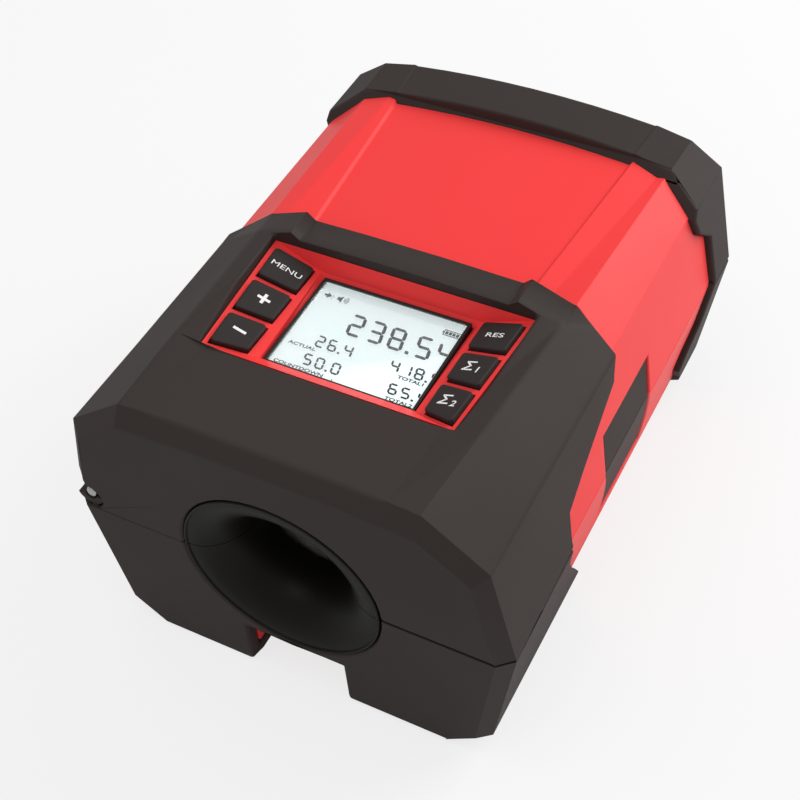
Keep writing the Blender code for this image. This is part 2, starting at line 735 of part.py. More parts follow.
def cut_funnel_seat(item, front):
    """Cut one end wall: a wide hole for the funnel's flange, a narrower one for its barrel."""
    for near, far, radius in (
            (-OVERRUN, FUNNEL_FLANGE_DEPTH + GAP, MOUTH_RADIUS + MOUTH_LIP + GAP),
            (FUNNEL_FLANGE_DEPTH, FUNNEL_BARREL_DEPTH + OVERRUN, FUNNEL_BARREL_RADIUS + GAP)):
        span = (near, far) if front else (LENGTH - far, LENGTH - near)
        cut(item, make_object("seat_cutter", passage_cutter(radius, *span)))
    return item


def hinge_point(station):
    """Point on the hinge's axis at one depth."""
    return place(HINGE_X, station, HINGE_LEVEL)


def cut_hinge_relief(item):
    """Clear a rounded notch along the left side, round the barrel and up to the notch's top."""
    relief = KNUCKLE_RADIUS + HINGE_RELIEF
    left = -side_bound() - OVERRUN
    outline = [(left, HINGE_NOTCH_LEVEL), (HINGE_X, HINGE_NOTCH_LEVEL)]
    for index in range(HINGE_SEGMENTS + 1):
        angle = math.pi * (1.0 / 2.0 - index / HINGE_SEGMENTS)
        outline.append((HINGE_X + relief * math.cos(angle), HINGE_LEVEL + relief * math.sin(angle)))
    outline.append((left, HINGE_LEVEL - relief))
    tool = along_depth(outline, -OVERRUN, LENGTH + OVERRUN)
    return cut(item, make_object("relief_cutter", tool))


def knuckle_spans():
    """Depth spans of the lid's and the base's knuckles, front pair then rear pair."""
    start = COVER_FACE_WALL + 2.0 * GAP
    first = (start, start + KNUCKLE_LENGTH)
    second = (first[1] + 2.0 * GAP, first[1] + 2.0 * GAP + KNUCKLE_LENGTH)
    lid = [first, (LENGTH - first[1], LENGTH - first[0])]
    base = [second, (LENGTH - second[1], LENGTH - second[0])]
    return lid, base


def knuckle_outline(upper):
    """Outline of a round barrel and its web, which runs up into the lid or down into the base."""
    angles = LID_WEB_ANGLES if upper else BASE_WEB_ANGLES
    root = HINGE_NOTCH_LEVEL + WALL if upper else BASE_WEB_ROOT
    outline = []
    for index in range(HINGE_SEGMENTS + 1):
        angle = mix(*angles, index / HINGE_SEGMENTS)
        outline.append((HINGE_X + KNUCKLE_RADIUS * math.cos(angle),
                        HINGE_LEVEL + KNUCKLE_RADIUS * math.sin(angle)))
    return outline + [(outline[-1][0], root), (outline[0][0], root)]


def add_knuckles(item, spans, upper):
    """Barrels with webs to the wall."""
    for near, far in spans:
        join(item, make_object("knuckle", along_depth(knuckle_outline(upper), near, far)))
    return item


def bore_hinge(item):
    """Pin hole along the hinge's axis."""
    tool = rod(HINGE_PIN_RADIUS + GAP, hinge_point(-OVERRUN), hinge_point(LENGTH + OVERRUN),
               HINGE_SEGMENTS)
    return cut(item, make_object("pin_cutter", tool))


def side_at(rise):
    """Side offset of the red housing's flank at a level."""
    if rise >= 0.0:
        return mix(SIDE_X, FLANK_X, rise / FLANK_LEVEL)
    return mix(SIDE_X, LOW_EDGE_X, rise / LOW_EDGE_LEVEL)


def grip_outline(grow, upper):
    """Grip's (depth, level) outline on the right side, with bowed ends, grown all round."""
    far_level = GRIP_TOP_LEVEL if upper else GRIP_LOW_LEVEL
    front_far = GRIP_FRONT_TOP if upper else GRIP_FRONT_LOW
    rear_far = GRIP_REAR_TOP if upper else GRIP_REAR_LOW
    bow = 0.0 if upper else GRIP_BOW
    near_level = math.copysign(SPLIT_GAP / 2.0, far_level)
    margin = math.copysign(grow, far_level)
    front = []
    rear = []
    for index in range(GRIP_STEPS + 1):
        rise = mix(near_level - 2.0 * margin, far_level + margin, index / GRIP_STEPS)
        share = (rise - near_level) / (far_level - near_level)
        lean = bow * math.sin(math.pi * share)
        front.append((mix(GRIP_FRONT_SPLIT, front_far, share) + lean - grow, rise))
        rear.append((mix(GRIP_REAR_SPLIT, rear_far, share) + lean + grow, rise))
    return front + list(reversed(rear))


def grip_body(recess, thickness, grow, upper):
    """Grip plate that follows the side wall, recess below its surface."""
    outline = grip_outline(grow, upper)
    outer = [place(side_at(rise) - recess, far, rise) for far, rise in outline]
    inner = [place(side_at(rise) - recess - thickness, far, rise) for far, rise in outline]
    return bridge([outer, inner])


def magnet_points():
    """Depths of the closing magnets."""
    return MAGNET_FRONT_DEPTH, MAGNET_REAR_DEPTH


def magnet_rod(station, radius, start, end):
    """Upright disc at a magnet's place."""
    return rod(radius, place(MAGNET_X, station, start), place(MAGNET_X, station, end),
               MAGNET_SEGMENTS)


def tray_quad(distance, rise=None):
    """Corners of the tray's outline in plan, moved out by a distance."""
    front_x = TRAY_FRONT_X + distance
    rear_x = TRAY_REAR_X + distance
    near = TRAY_FRONT_DEPTH - distance
    far = TRAY_REAR_DEPTH + distance
    corners = [(-front_x, near, TRAY_FRONT_LEVEL), (front_x, near, TRAY_FRONT_LEVEL),
               (rear_x, far, TRAY_REAR_LEVEL), (-rear_x, far, TRAY_REAR_LEVEL)]
    if rise is None:
        return [place(x, station, height) for x, station, height in corners]
    return [place(x, station, rise) for x, station, _ in corners]


def tray_prism(distance, low, high):
    """Prism on the tray's outline between two levels."""
    return bridge([tray_quad(distance, low), tray_quad(distance, high)])


def under_quad(rim, far, rise):
    """Corners of the tray's underside at a level: drawn in by a rim, except at the rear."""
    front_x = TRAY_FRONT_X - rim
    rear_x = TRAY_REAR_X - rim
    near = TRAY_FRONT_DEPTH + rim
    return [place(-front_x, near, rise), place(front_x, near, rise),
            place(rear_x, far, rise), place(-rear_x, far, rise)]


def inner_quad():
    """Foot of the tray's four slopes."""
    front = (TRAY_INNER_FRONT_DEPTH, TRAY_INNER_FRONT_LEVEL)
    rear = (TRAY_INNER_REAR_DEPTH, TRAY_INNER_REAR_LEVEL)
    return [place(-TRAY_INNER_FRONT_X, *front), place(TRAY_INNER_FRONT_X, *front),
            place(TRAY_INNER_REAR_X, *rear), place(-TRAY_INNER_REAR_X, *rear)]


def screen_quad(distance, rise):
    """Rectangle round the screen, moved out by a distance, at a level."""
    half_width = SCREEN_HALF_WIDTH + distance
    near = SCREEN_FRONT_DEPTH - distance
    far = SCREEN_REAR_DEPTH + distance
    return [place(-half_width, near, rise), place(half_width, near, rise),
            place(half_width, far, rise), place(-half_width, far, rise)]


def half_shell(name, upper, material):
    """One red half: full outside where it shows, drawn-in core under the covers, hollow."""
    full = mirrored(body_half(0.0)), mirrored(body_half(LENGTH))
    item = make_object(name, section_loft([(0.0, full[0]), (LENGTH, full[1])]), material)
    cut(item, make_object("front_cutter", front_region(GAP)))
    cut(item, make_object("rear_cutter", rear_region(GAP)))
    front = COVER_FACE_WALL + GAP
    core = core_loft(SKIN + GAP, front, LENGTH - front)
    join(item, make_object("core", core))
    keep(item, make_object("half", upper_region() if upper else lower_region()))
    hollow = core_loft(SKIN + WALL, front + END_WALL, LENGTH - front - END_WALL)
    hollow_item = make_object("hollow", hollow)
    if not upper:
        cut(hollow_item, make_object("channel", channel_cutter(CHANNEL_WALL)))
    beam_right = HINGE_X + KNUCKLE_RADIUS + HINGE_RELIEF + WALL
    beam = block((-side_bound(), beam_right), (-OVERRUN, LENGTH + OVERRUN),
                 (-KNUCKLE_RADIUS - WALL, HINGE_NOTCH_LEVEL + WALL))
    cut(hollow_item, make_object("beam", beam))
    for station in magnet_points():
        reach = MAGNET_HEIGHT + WALL
        boss = magnet_rod(station, MAGNET_RADIUS + WALL, -reach, reach)
        cut(hollow_item, make_object("boss", boss))
    if upper:
        for x, station in post_points():
            post = rod(POST_RADIUS, place(x, station, LINER_LEVEL + LINER_THICKNESS + GAP),
                       place(x, station, bound_level()), POST_SEGMENTS)
            cut(hollow_item, make_object("post", post))
    cut(item, hollow_item)
    cut_funnel_seat(item, True)
    cut_funnel_seat(item, False)
    cut_hinge_relief(item)
    lid_spans, base_spans = knuckle_spans()
    add_knuckles(item, lid_spans if upper else base_spans, upper)
    bore_hinge(item)
    cut(item, make_object("grip_cutter", grip_body(-OVERRUN, GRIP_RECESS + GRIP_DEPTH + OVERRUN
                                                   + GAP, GAP, upper)))
    for station in magnet_points():
        reach = SPLIT_GAP / 2.0 + MAGNET_HEIGHT + GAP
        start, end = (0.0, reach) if upper else (-reach, 0.0)
        cut(item, make_object("magnet_cutter", magnet_rod(station, MAGNET_RADIUS + GAP, start, end)))
    return item


def upper_housing(material):
    """Red upper half with the display's ledged opening and screw posts for the liner."""
    item = half_shell("upper_housing", True, material)
    ledge = TRAY_SKIRT_LEVEL - GAP
    cut(item, make_object("opening", tray_prism(GAP, ledge, bound_level())))
    rear = TRAY_REAR_DEPTH + GAP
    opening = bridge([under_quad(TRAY_LEDGE, rear, rise) for rise in (board_level(), bound_level())])
    cut(item, make_object("opening", opening))
    for x, station in post_points():
        hole = rod(SCREW_RADIUS + GAP, place(x, station, 0.0),
                   place(x, station, LINER_LEVEL + SCREW_LENGTH + GAP), SCREW_SEGMENTS)
        cut(item, make_object("post_hole", hole))
    return item


def post_points():
    """Places of the lid's two screw posts, at opposite corners."""
    return [(POST_X, POST_FRONT_DEPTH), (-POST_X, POST_REAR_DEPTH)]


def lower_housing(material):
    """Red lower half with the channel along its underside."""
    item = half_shell("lower_housing", False, material)
    cut(item, make_object("channel", channel_cutter()))
    for seat in frame_screw_points():
        tip = seat - Vector((0.0, 0.0, frame_screw_length() + GAP))
        cut(item, make_object("pilot", rod(SCREW_RADIUS + GAP, tip, seat, SCREW_SEGMENTS)))
    return item


def front_cover(name, upper, material):
    """Dark front cover half: bevelled face, hood behind the display and swept sides."""
    stations = [(0.0, mirrored(face_half()))]
    for station in (COVER_BEVEL_DEPTH, TRAY_FRONT_DEPTH, HOOD_DEPTH, COVER_REAR_DEPTH + OVERRUN):
        stations.append((station, mirrored(cover_half(min(station, COVER_REAR_DEPTH)))))
    item = make_object(name, section_loft(stations), material)
    cut_funnel_seat(item, True)
    keep(item, make_object("front", front_region(0.0)))
    core = core_loft(SKIN, COVER_FACE_WALL, LENGTH)
    cut(item, make_object("core", core))
    keep(item, make_object("half", upper_region() if upper else lower_region()))
    cut_hinge_relief(item)
    if upper:
        cut(item, make_object("opening", tray_prism(GAP, 0.0, bound_level())))
    else:
        add_hinge_ear(item, EAR_START, COVER_FACE_WALL - GAP)
        bore_hinge(item)
        cut(item, make_object("channel", channel_cutter()))
    return item


def add_hinge_ear(item, near, far):
    """Rounded ear on the cover's lower half, under the hinge pin's end."""
    outline = []
    for index in range(HINGE_SEGMENTS + 1):
        angle = mix(BASE_WEB_ANGLES[0], BASE_WEB_ANGLES[1], index / HINGE_SEGMENTS)
        rise = min(HINGE_LEVEL + KNUCKLE_RADIUS * math.sin(angle), EAR_TOP_LEVEL)
        outline.append((HINGE_X + KNUCKLE_RADIUS * math.cos(angle), rise))
    outline = [point for point in outline if point[1] < EAR_TOP_LEVEL]
    right = [point for point in outline if point[0] > HINGE_X]
    left = [point for point in outline if point[0] <= HINGE_X]
    reach = math.sqrt(KNUCKLE_RADIUS ** 2 - (HINGE_LEVEL - EAR_TOP_LEVEL) ** 2)
    low = BASE_WEB_ROOT
    outline = [(right[0][0], low)] + right + [(HINGE_X + reach, EAR_TOP_LEVEL)]
    outline += [(HINGE_X - reach, EAR_TOP_LEVEL)] + left + [(left[-1][0], low)]
    return join(item, make_object("ear", along_depth(outline, near, far)))


def rear_cover(name, upper, material):
    """Dark rear cover half: a proud band with a rounded front edge and a bevelled end."""
    front = min(CAP_FLANK_DEPTH, CAP_TOP_DEPTH) - OVERRUN
    bevel_start = LENGTH - COVER_BEVEL_DEPTH
    stations = [(front, mirrored(cap_half(front))), (bevel_start, mirrored(cap_half(bevel_start))),
                (LENGTH, inset(mirrored(cap_half(bevel_start)), COVER_BEVEL_DEPTH))]
    item = make_object(name, section_loft(stations), material)
    cut_funnel_seat(item, False)
    keep(item, make_object("rear", rear_region(0.0)))
    core = core_loft(SKIN, COVER_BEVEL_DEPTH, LENGTH - COVER_FACE_WALL)
    cut(item, make_object("core", core))
    keep(item, make_object("half", upper_region() if upper else lower_region()))
    cut_hinge_relief(item)
    if not upper:
        add_hinge_ear(item, LENGTH - COVER_FACE_WALL + GAP, LENGTH - EAR_START)
        bore_hinge(item)
        cut(item, make_object("channel", channel_cutter()))
    return item


def funnel_profile():
    """Closed (radius, depth) section of a trumpet: an elliptic flare, a barrel and a flange."""
    flare = MOUTH_RADIUS - THROAT_RADIUS
    inside = []
    for index in range(FUNNEL_STEPS + 1):
        angle = math.pi / 2.0 * index / FUNNEL_STEPS
        inside.append((THROAT_RADIUS + flare * (1.0 - math.sin(angle)),
                       THROAT_DEPTH * (1.0 - math.cos(angle)) + MOUTH_LIP * (1.0 - index / FUNNEL_STEPS)))
    outside = [(THROAT_RADIUS, FUNNEL_DEPTH),
               (THROAT_RADIUS + FUNNEL_THROAT_WALL, FUNNEL_DEPTH),
               (THROAT_RADIUS + 2.0 * FUNNEL_THROAT_WALL, FUNNEL_BARREL_DEPTH + FUNNEL_THROAT_WALL),
               (FUNNEL_BARREL_RADIUS, FUNNEL_BARREL_DEPTH),
               (FUNNEL_BARREL_RADIUS, FUNNEL_FLANGE_DEPTH),
               (MOUTH_RADIUS + MOUTH_LIP, FUNNEL_FLANGE_DEPTH),
               (MOUTH_RADIUS + MOUTH_LIP, MOUTH_LIP / 2.0),
               (MOUTH_RADIUS + MOUTH_LIP / 2.0, 0.0)]
    return inside + outside


def funnel(name, front, upper, material):
    """Half a funnel on either end of the passage."""
    side = 1.0 if upper else -1.0
    end = 0.0 if front else LENGTH
    origin = place(0.0, end, side * SPLIT_GAP / 2.0)
    axis = (0.0, 1.0 if front else -1.0, 0.0)
    shape = turned(funnel_profile(), origin, axis, FUNNEL_SEGMENTS, side * math.pi)
    return smooth(make_object(name, shape, material))


def hinge_pin(name, front, material):
    """Steel pin through the ear and two knuckles."""
    near = EAR_START + GAP
    far = COVER_FACE_WALL + 2.0 * KNUCKLE_LENGTH
    if not front:
        near, far = LENGTH - far, LENGTH - near
    shape = rod(HINGE_PIN_RADIUS, hinge_point(near), hinge_point(far), HINGE_SEGMENTS)
    return smooth(make_object(name, shape, material))


def side_grip(name, upper, material):
    """Dark insert in the right side wall, on one half."""
    return make_object(name, grip_body(GRIP_RECESS, GRIP_DEPTH, 0.0, upper), material)


def magnets(suffix, upper, material):
    """Two disc magnets beside the split, on one half."""
    side = 1.0 if upper else -1.0
    start = side * SPLIT_GAP / 2.0
    for end, station in zip(("front", "rear"), magnet_points()):
        disc = magnet_rod(station, MAGNET_RADIUS, start, start + side * MAGNET_HEIGHT)
        smooth(make_object(f"closing_magnet_{end}_{suffix}", disc, material))


def display_tray(material):
    """Red tray: four slopes down to the screen, key windows in the two side slopes."""
    sill = SCREEN_LEVEL - TRAY_WALL / 2.0
    bottom = screen_quad(SCREEN_BORDER + TRAY_RIM, sill)
    for corner in bottom[2:]:
        corner.y = depth(TRAY_INNER_REAR_DEPTH + TRAY_REAR_WALL)
    rings = [tray_quad(0.0), inner_quad(), screen_quad(SCREEN_BORDER + GAP, sill), bottom,
             under_quad(TRAY_RIM, TRAY_REAR_DEPTH - GAP, TRAY_SKIRT_LEVEL),
             tray_quad(0.0, TRAY_SKIRT_LEVEL)]
    item = make_object("display_tray", bridge(rings, closed=True), material)
    for side in (-1.0, 1.0):
        for index in range(KEY_COUNT):
            window = key_prism(side, index, KEY_CLEARANCE, -2.0 * KEY_ROOT, 2.0 * KEY_ROOT)
            cut(item, make_object("key_window", window))
    return item


def bar_frame(side):
    """Origin and upward normal of one key bar's surface."""
    outer_rear = place(side * TRAY_REAR_X, TRAY_REAR_DEPTH, TRAY_REAR_LEVEL)
    outer_front = place(side * TRAY_FRONT_X, TRAY_FRONT_DEPTH, TRAY_FRONT_LEVEL)
    inner_rear = place(side * TRAY_INNER_REAR_X, TRAY_INNER_REAR_DEPTH, TRAY_INNER_REAR_LEVEL)
    normal = (outer_front - outer_rear).cross(inner_rear - outer_rear).normalized()
    if normal.z < 0.0:
        normal.negate()
    return outer_rear, normal


def on_bar(side, x, station):
    """Point of a key bar's surface above a place in plan."""
    origin, normal = bar_frame(side)
    point = place(side * x, station, 0.0)
    point.z = origin.z - (normal.x * (point.x - origin.x) + normal.y * (point.y - origin.y)) / normal.z
    return point


def key_corners(side, index):
    """Key's four corners on the bar, outer side longer than the inner side."""
    inner_far = KEY_REAR_DEPTH - index * (KEY_INNER_LENGTH + KEY_SPACE)
    outer_far = KEY_REAR_DEPTH - index * (KEY_OUTER_LENGTH + KEY_SPACE)
    inner_near = inner_far - KEY_INNER_LENGTH
    outer_near = outer_far - KEY_OUTER_LENGTH
    run = KEY_COUNT * (KEY_OUTER_LENGTH + KEY_SPACE)
    x_far = mix(KEY_OUTER_X_REAR, KEY_OUTER_X_FRONT, (KEY_REAR_DEPTH - outer_far) / run)
    x_near = mix(KEY_OUTER_X_REAR, KEY_OUTER_X_FRONT, (KEY_REAR_DEPTH - outer_near) / run)
    corners = [on_bar(side, x_near, outer_near), on_bar(side, KEY_INNER_X, inner_near),
               on_bar(side, KEY_INNER_X, inner_far), on_bar(side, x_far, outer_far)]
    return corners


def grown_corners(corners, normal, distance):
    """Quadrilateral moved out by a distance in its own plane."""
    centre = sum(corners, Vector()) / len(corners)
    moved = []
    for index, here in enumerate(corners):
        before = corners[index - 1]
        after = corners[(index + 1) % len(corners)]
        first = (here - before).normalized().cross(normal)
        second = (after - here).normalized().cross(normal)
        if first.dot(here - centre) < 0.0:
            first.negate()
        if second.dot(here - centre) < 0.0:
            second.negate()
        corner = (first + second).normalized()
        moved.append(here + corner * (distance / corner.dot(first)))
    return moved


def key_prism(side, index, grow, low, high):
    """Prism on a key's outline, between two heights along the bar's normal."""
    normal = bar_frame(side)[1]
    corners = grown_corners(key_corners(side, index), normal, grow)
    return bridge([[point + normal * low for point in corners],
                   [point + normal * high for point in corners]])


def key(name, side, index, material):
    """Push key: a cap with bevelled top edges and a stem below it, moving square to the bar."""
    normal = bar_frame(side)[1]
    corners = key_corners(side, index)
    centre = sum(corners, Vector()) / len(corners)
    top = grown_corners(corners, normal, -KEY_BEVEL)
    rings = [[point - normal * KEY_ROOT for point in corners],
             [point + normal * (KEY_RISE - KEY_BEVEL) for point in corners],
             [point + normal * KEY_RISE for point in top]]
    item = make_object(name, bridge(rings), material)
    stem = rod(KEY_STEM_RADIUS, centre - normal * (KEY_ROOT + KEY_STEM_LENGTH),
               centre - normal * (KEY_ROOT - KEY_BEVEL), KEY_STEM_SEGMENTS)
    join(item, make_object("stem", stem))
    item.data.transform(Matrix.Translation(-centre))
    item.location = centre
    return item


def ring_plate(outer, inner, rise):
    """Flat frame between an outer and an inner quad, extruded up by a rise."""
    lift = Vector((0.0, 0.0, rise))
    rings = [outer, inner, [point + lift for point in inner], [point + lift for point in outer]]
    return bridge(rings, closed=True)


def display_parts(materials):
    """Screen panel, its dark frame and the clear window over it."""
    panel_rings = [screen_quad(SCREEN_BORDER, SCREEN_LEVEL - PANEL_THICKNESS),
                   screen_quad(SCREEN_BORDER, SCREEN_LEVEL)]
    make_object("display_panel", bridge(panel_rings), materials["screen"])
    frame_level = SCREEN_LEVEL + GAP
    frame = ring_plate(screen_quad(SCREEN_BORDER, frame_level), screen_quad(0.0, frame_level),
                       FRAME_HEIGHT)
    make_object("display_frame", frame, materials["dark"])
    window_rings = [screen_quad(-GAP, frame_level), screen_quad(-GAP, frame_level + WINDOW_HEIGHT)]
    make_object("display_window", bridge(window_rings), materials["glass"])


def board_level():
    """Top of the circuit board, under the screen panel."""
    return SCREEN_LEVEL - PANEL_THICKNESS - GAP


def dome_points():
    """Places in plan of the mat's domes, below the keys' stems."""
    points = []
    for side in (-1.0, 1.0):
        normal = bar_frame(side)[1]
        for index in range(KEY_COUNT):
            corners = key_corners(side, index)
            centre = sum(corners, Vector()) / len(corners)
            points.append(centre - normal * (KEY_ROOT + KEY_STEM_LENGTH))
    return points


def electronics(materials):
    """Circuit board, rubber key mat and buzzer."""
    top = board_level()
    board = block((-BOARD_HALF_WIDTH, BOARD_HALF_WIDTH), (BOARD_FRONT_DEPTH, BOARD_REAR_DEPTH),
                  (top - BOARD_THICKNESS, top))
    make_object("circuit_board", board, materials["board"])
    mat_level = top + GAP
    edge = BOARD_HALF_WIDTH - SCREEN_HALF_WIDTH - SCREEN_BORDER - MAT_BORDER
    half_width = SCREEN_HALF_WIDTH + edge
    near = BOARD_FRONT_DEPTH + MAT_BORDER
    far = BOARD_REAR_DEPTH - MAT_BORDER
    outer = [place(-half_width, near, mat_level), place(half_width, near, mat_level),
             place(half_width, far, mat_level), place(-half_width, far, mat_level)]
    mat = make_object("key_mat", ring_plate(outer, screen_quad(SCREEN_BORDER + GAP, mat_level),
                                            MAT_THICKNESS), materials["rubber"])
    for point in dome_points():
        start = Vector((point.x, point.y, level(mat_level + MAT_THICKNESS / 2.0)))
        end = Vector((point.x, point.y, level(mat_level + MAT_THICKNESS + DOME_HEIGHT)))
        join(mat, make_object("dome", rod(DOME_RADIUS, start, end, KEY_STEM_SEGMENTS)))
    low = top - BOARD_THICKNESS - GAP
    buzzer = rod(BUZZER_RADIUS, place(BUZZER_X, BUZZER_DEPTH, low),
                 place(BUZZER_X, BUZZER_DEPTH, low - BUZZER_HEIGHT), 2 * KEY_STEM_SEGMENTS)
    smooth(make_object("buzzer", buzzer, materials["dark"]))


def cell_bay():
    """Side, depth and height ranges of the space for the cells."""
    play = TRAY_SIDE / 2.0
    left = CELL_INNER_X - CELL_RADIUS - play
    right = CELL_INNER_X + CELL_PITCH + CELL_RADIUS + play
    far = CELL_FRONT_DEPTH + CELL_LENGTH + CELL_NUB_LENGTH
    reach = CONTACT_THICKNESS + 2.0 * GAP
    return (left, right), (CELL_FRONT_DEPTH - reach, far + reach), CELL_LEVEL + CELL_RADIUS + GAP


def liner_screw_level():
    """Level of the underside of the liner screws' heads, which stand just below the liner."""
    return LINER_LEVEL - GAP + SCREW_HEAD_HEIGHT


def liner(material):
    """Plate across the lid's underside, arched over the passage and slotted for the wheel."""
    right = MAGNET_X - MAGNET_RADIUS - WALL - 2.0 * GAP
    top = LINER_LEVEL + LINER_THICKNESS
    inside = []
    outside = []
    outer = LINER_ARCH_RADIUS + LINER_THICKNESS
    start = math.asin(top / outer)
    for index in range(LINER_ARCH_STEPS + 1):
        inner_angle = math.pi * index / LINER_ARCH_STEPS
        outer_angle = math.pi - mix(start, math.pi - start, index / LINER_ARCH_STEPS)
        inside.append((LINER_ARCH_RADIUS * math.cos(inner_angle),
                       LINER_LEVEL + LINER_ARCH_RADIUS * math.sin(inner_angle)))
        outside.append((outer * math.cos(outer_angle), outer * math.sin(outer_angle)))
    outline = [(-LINER_LEFT_X, LINER_LEVEL), (-LINER_LEFT_X, top)] + outside
    outline += [(right, top), (right, LINER_LEVEL)] + inside
    item = make_object("lid_liner", along_depth(outline, LINER_FRONT_DEPTH, LINER_REAR_DEPTH),
                       material)
    slot = block((-SLOT_HALF_WIDTH, SLOT_HALF_WIDTH), (SLOT_FRONT_DEPTH, LINER_REAR_DEPTH + OVERRUN),
                 (SLOT_SILL_LEVEL, outer + OVERRUN))
    cut(item, make_object("slot", slot))
    bay_x, bay_depth, _ = cell_bay()
    opening = block(bay_x, bay_depth, (-OVERRUN, top + OVERRUN))
    cut(item, make_object("bay", opening))
    for x, station in post_points():
        start = place(x, station, -OVERRUN)
        seat = place(x, station, liner_screw_level() + GAP)
        well = rod(SCREW_HEAD_RADIUS + GAP, start, seat, SCREW_SEGMENTS)
        cut(item, make_object("well", well))
        hole = rod(SCREW_RADIUS + GAP, start, place(x, station, top + OVERRUN), SCREW_SEGMENTS)
        cut(item, make_object("hole", hole))
    return item


def screw(name, seat, direction, length, material):
    """Screw with a round head, its head's underside at the seat."""
    way = Vector((0.0, 0.0, direction))
    shank = rod(SCREW_RADIUS, seat - way * SCREW_HEAD_HEIGHT / 2.0, seat + way * length,
                SCREW_SEGMENTS)
    head = rod(SCREW_HEAD_RADIUS, seat - way * SCREW_HEAD_HEIGHT, seat, SCREW_SEGMENTS)
    item = make_object(name, head, material)
    return smooth(join(item, make_object("shank", shank)))


def cells(materials):
    """Two round cells side by side, their tray, contacts and the door below them."""
    for index in range(2):
        x = CELL_INNER_X + index * CELL_PITCH
        near = CELL_FRONT_DEPTH
        far = near + CELL_LENGTH
        sign, flat_end = (1.0, near) if index == 0 else (-1.0, far + CELL_NUB_LENGTH)
        profile = [(0.0, 0.0), (CELL_RADIUS, 0.0), (CELL_RADIUS, CELL_LENGTH),
                   (CELL_NUB_RADIUS, CELL_LENGTH), (CELL_NUB_RADIUS, CELL_LENGTH + CELL_NUB_LENGTH),
                   (0.0, CELL_LENGTH + CELL_NUB_LENGTH)]
        shape = spun(profile, place(x, flat_end, CELL_LEVEL), (0.0, sign, 0.0), CELL_SEGMENTS)
        smooth(make_object(f"battery_cell_{index + 1}", shape, materials["cell"]))
    bay_x, bay_depth, top = cell_bay()
    low = LINER_LEVEL + LINER_THICKNESS + GAP
    tray = block((bay_x[0] - TRAY_SIDE, bay_x[1] + TRAY_SIDE),
                 (bay_depth[0] - TRAY_SIDE, bay_depth[1] + TRAY_SIDE), (low, top + TRAY_SIDE))
    item = make_object("battery_tray", tray, materials["dark"])
    cut(item, make_object("bay", block(bay_x, bay_depth, (low - OVERRUN, top))))
    middle = (bay_x[0] + bay_x[1]) / 2.0
    half_width = CELL_PITCH / 2.0 + CELL_RADIUS - TRAY_SIDE
    for end, start in (("front", bay_depth[0] + GAP), ("rear", bay_depth[1] - GAP - CONTACT_THICKNESS)):
        plate = block((middle - half_width, middle + half_width), (start, start + CONTACT_THICKNESS),
                      (low, top - TRAY_SIDE))
        make_object(f"battery_contact_{end}", plate, materials["steel"])
    door = block((bay_x[0] + GAP, bay_x[1] - GAP), (bay_depth[0] + GAP, bay_depth[1] - GAP),
                 (LINER_LEVEL, LINER_LEVEL + LINER_THICKNESS))
    make_object("battery_door", door, materials["dark"])


def spun(profile, origin, axis, segments):
    """Solid of revolution whose open profile starts and ends on the axis."""
    axis = Vector(axis)
    turn = axis.to_track_quat("Z", "Y").to_matrix().to_4x4()
    shape = bmesh.new()
    rings = []
    for radius, travel in profile:
        if radius == 0.0:
            rings.append([shape.verts.new((0.0, 0.0, travel))])
            continue
        ring = []
        for index in range(segments):
            angle = 2.0 * math.pi * index / segments
            ring.append(shape.verts.new((radius * math.cos(angle), radius * math.sin(angle), travel)))
        rings.append(ring)
    for first, second in zip(rings, rings[1:]):
        for index in range(segments):
            following = (index + 1) % segments
            corners = [first[index % len(first)], first[following % len(first)],
                       second[following % len(second)], second[index % len(second)]]
            unique = list(dict.fromkeys(corners))
            shape.faces.new(unique)
    shape.transform(Matrix.Translation(origin) @ turn)
    return shape


def wheel_centre():
    """Measuring wheel's centre at rest."""
    return place(0.0, WHEEL_DEPTH, WHEEL_LEVEL)


def centred(item, centre):
    """Move an object's origin to a point and leave its shape in place."""
    item.data.transform(Matrix.Translation(-centre))
    item.location = centre
    return item


def ring(profile, centre, segments):
    """Turned ring about the cross axis through a centre."""
    return turned(profile, centre, (1.0, 0.0, 0.0), segments)


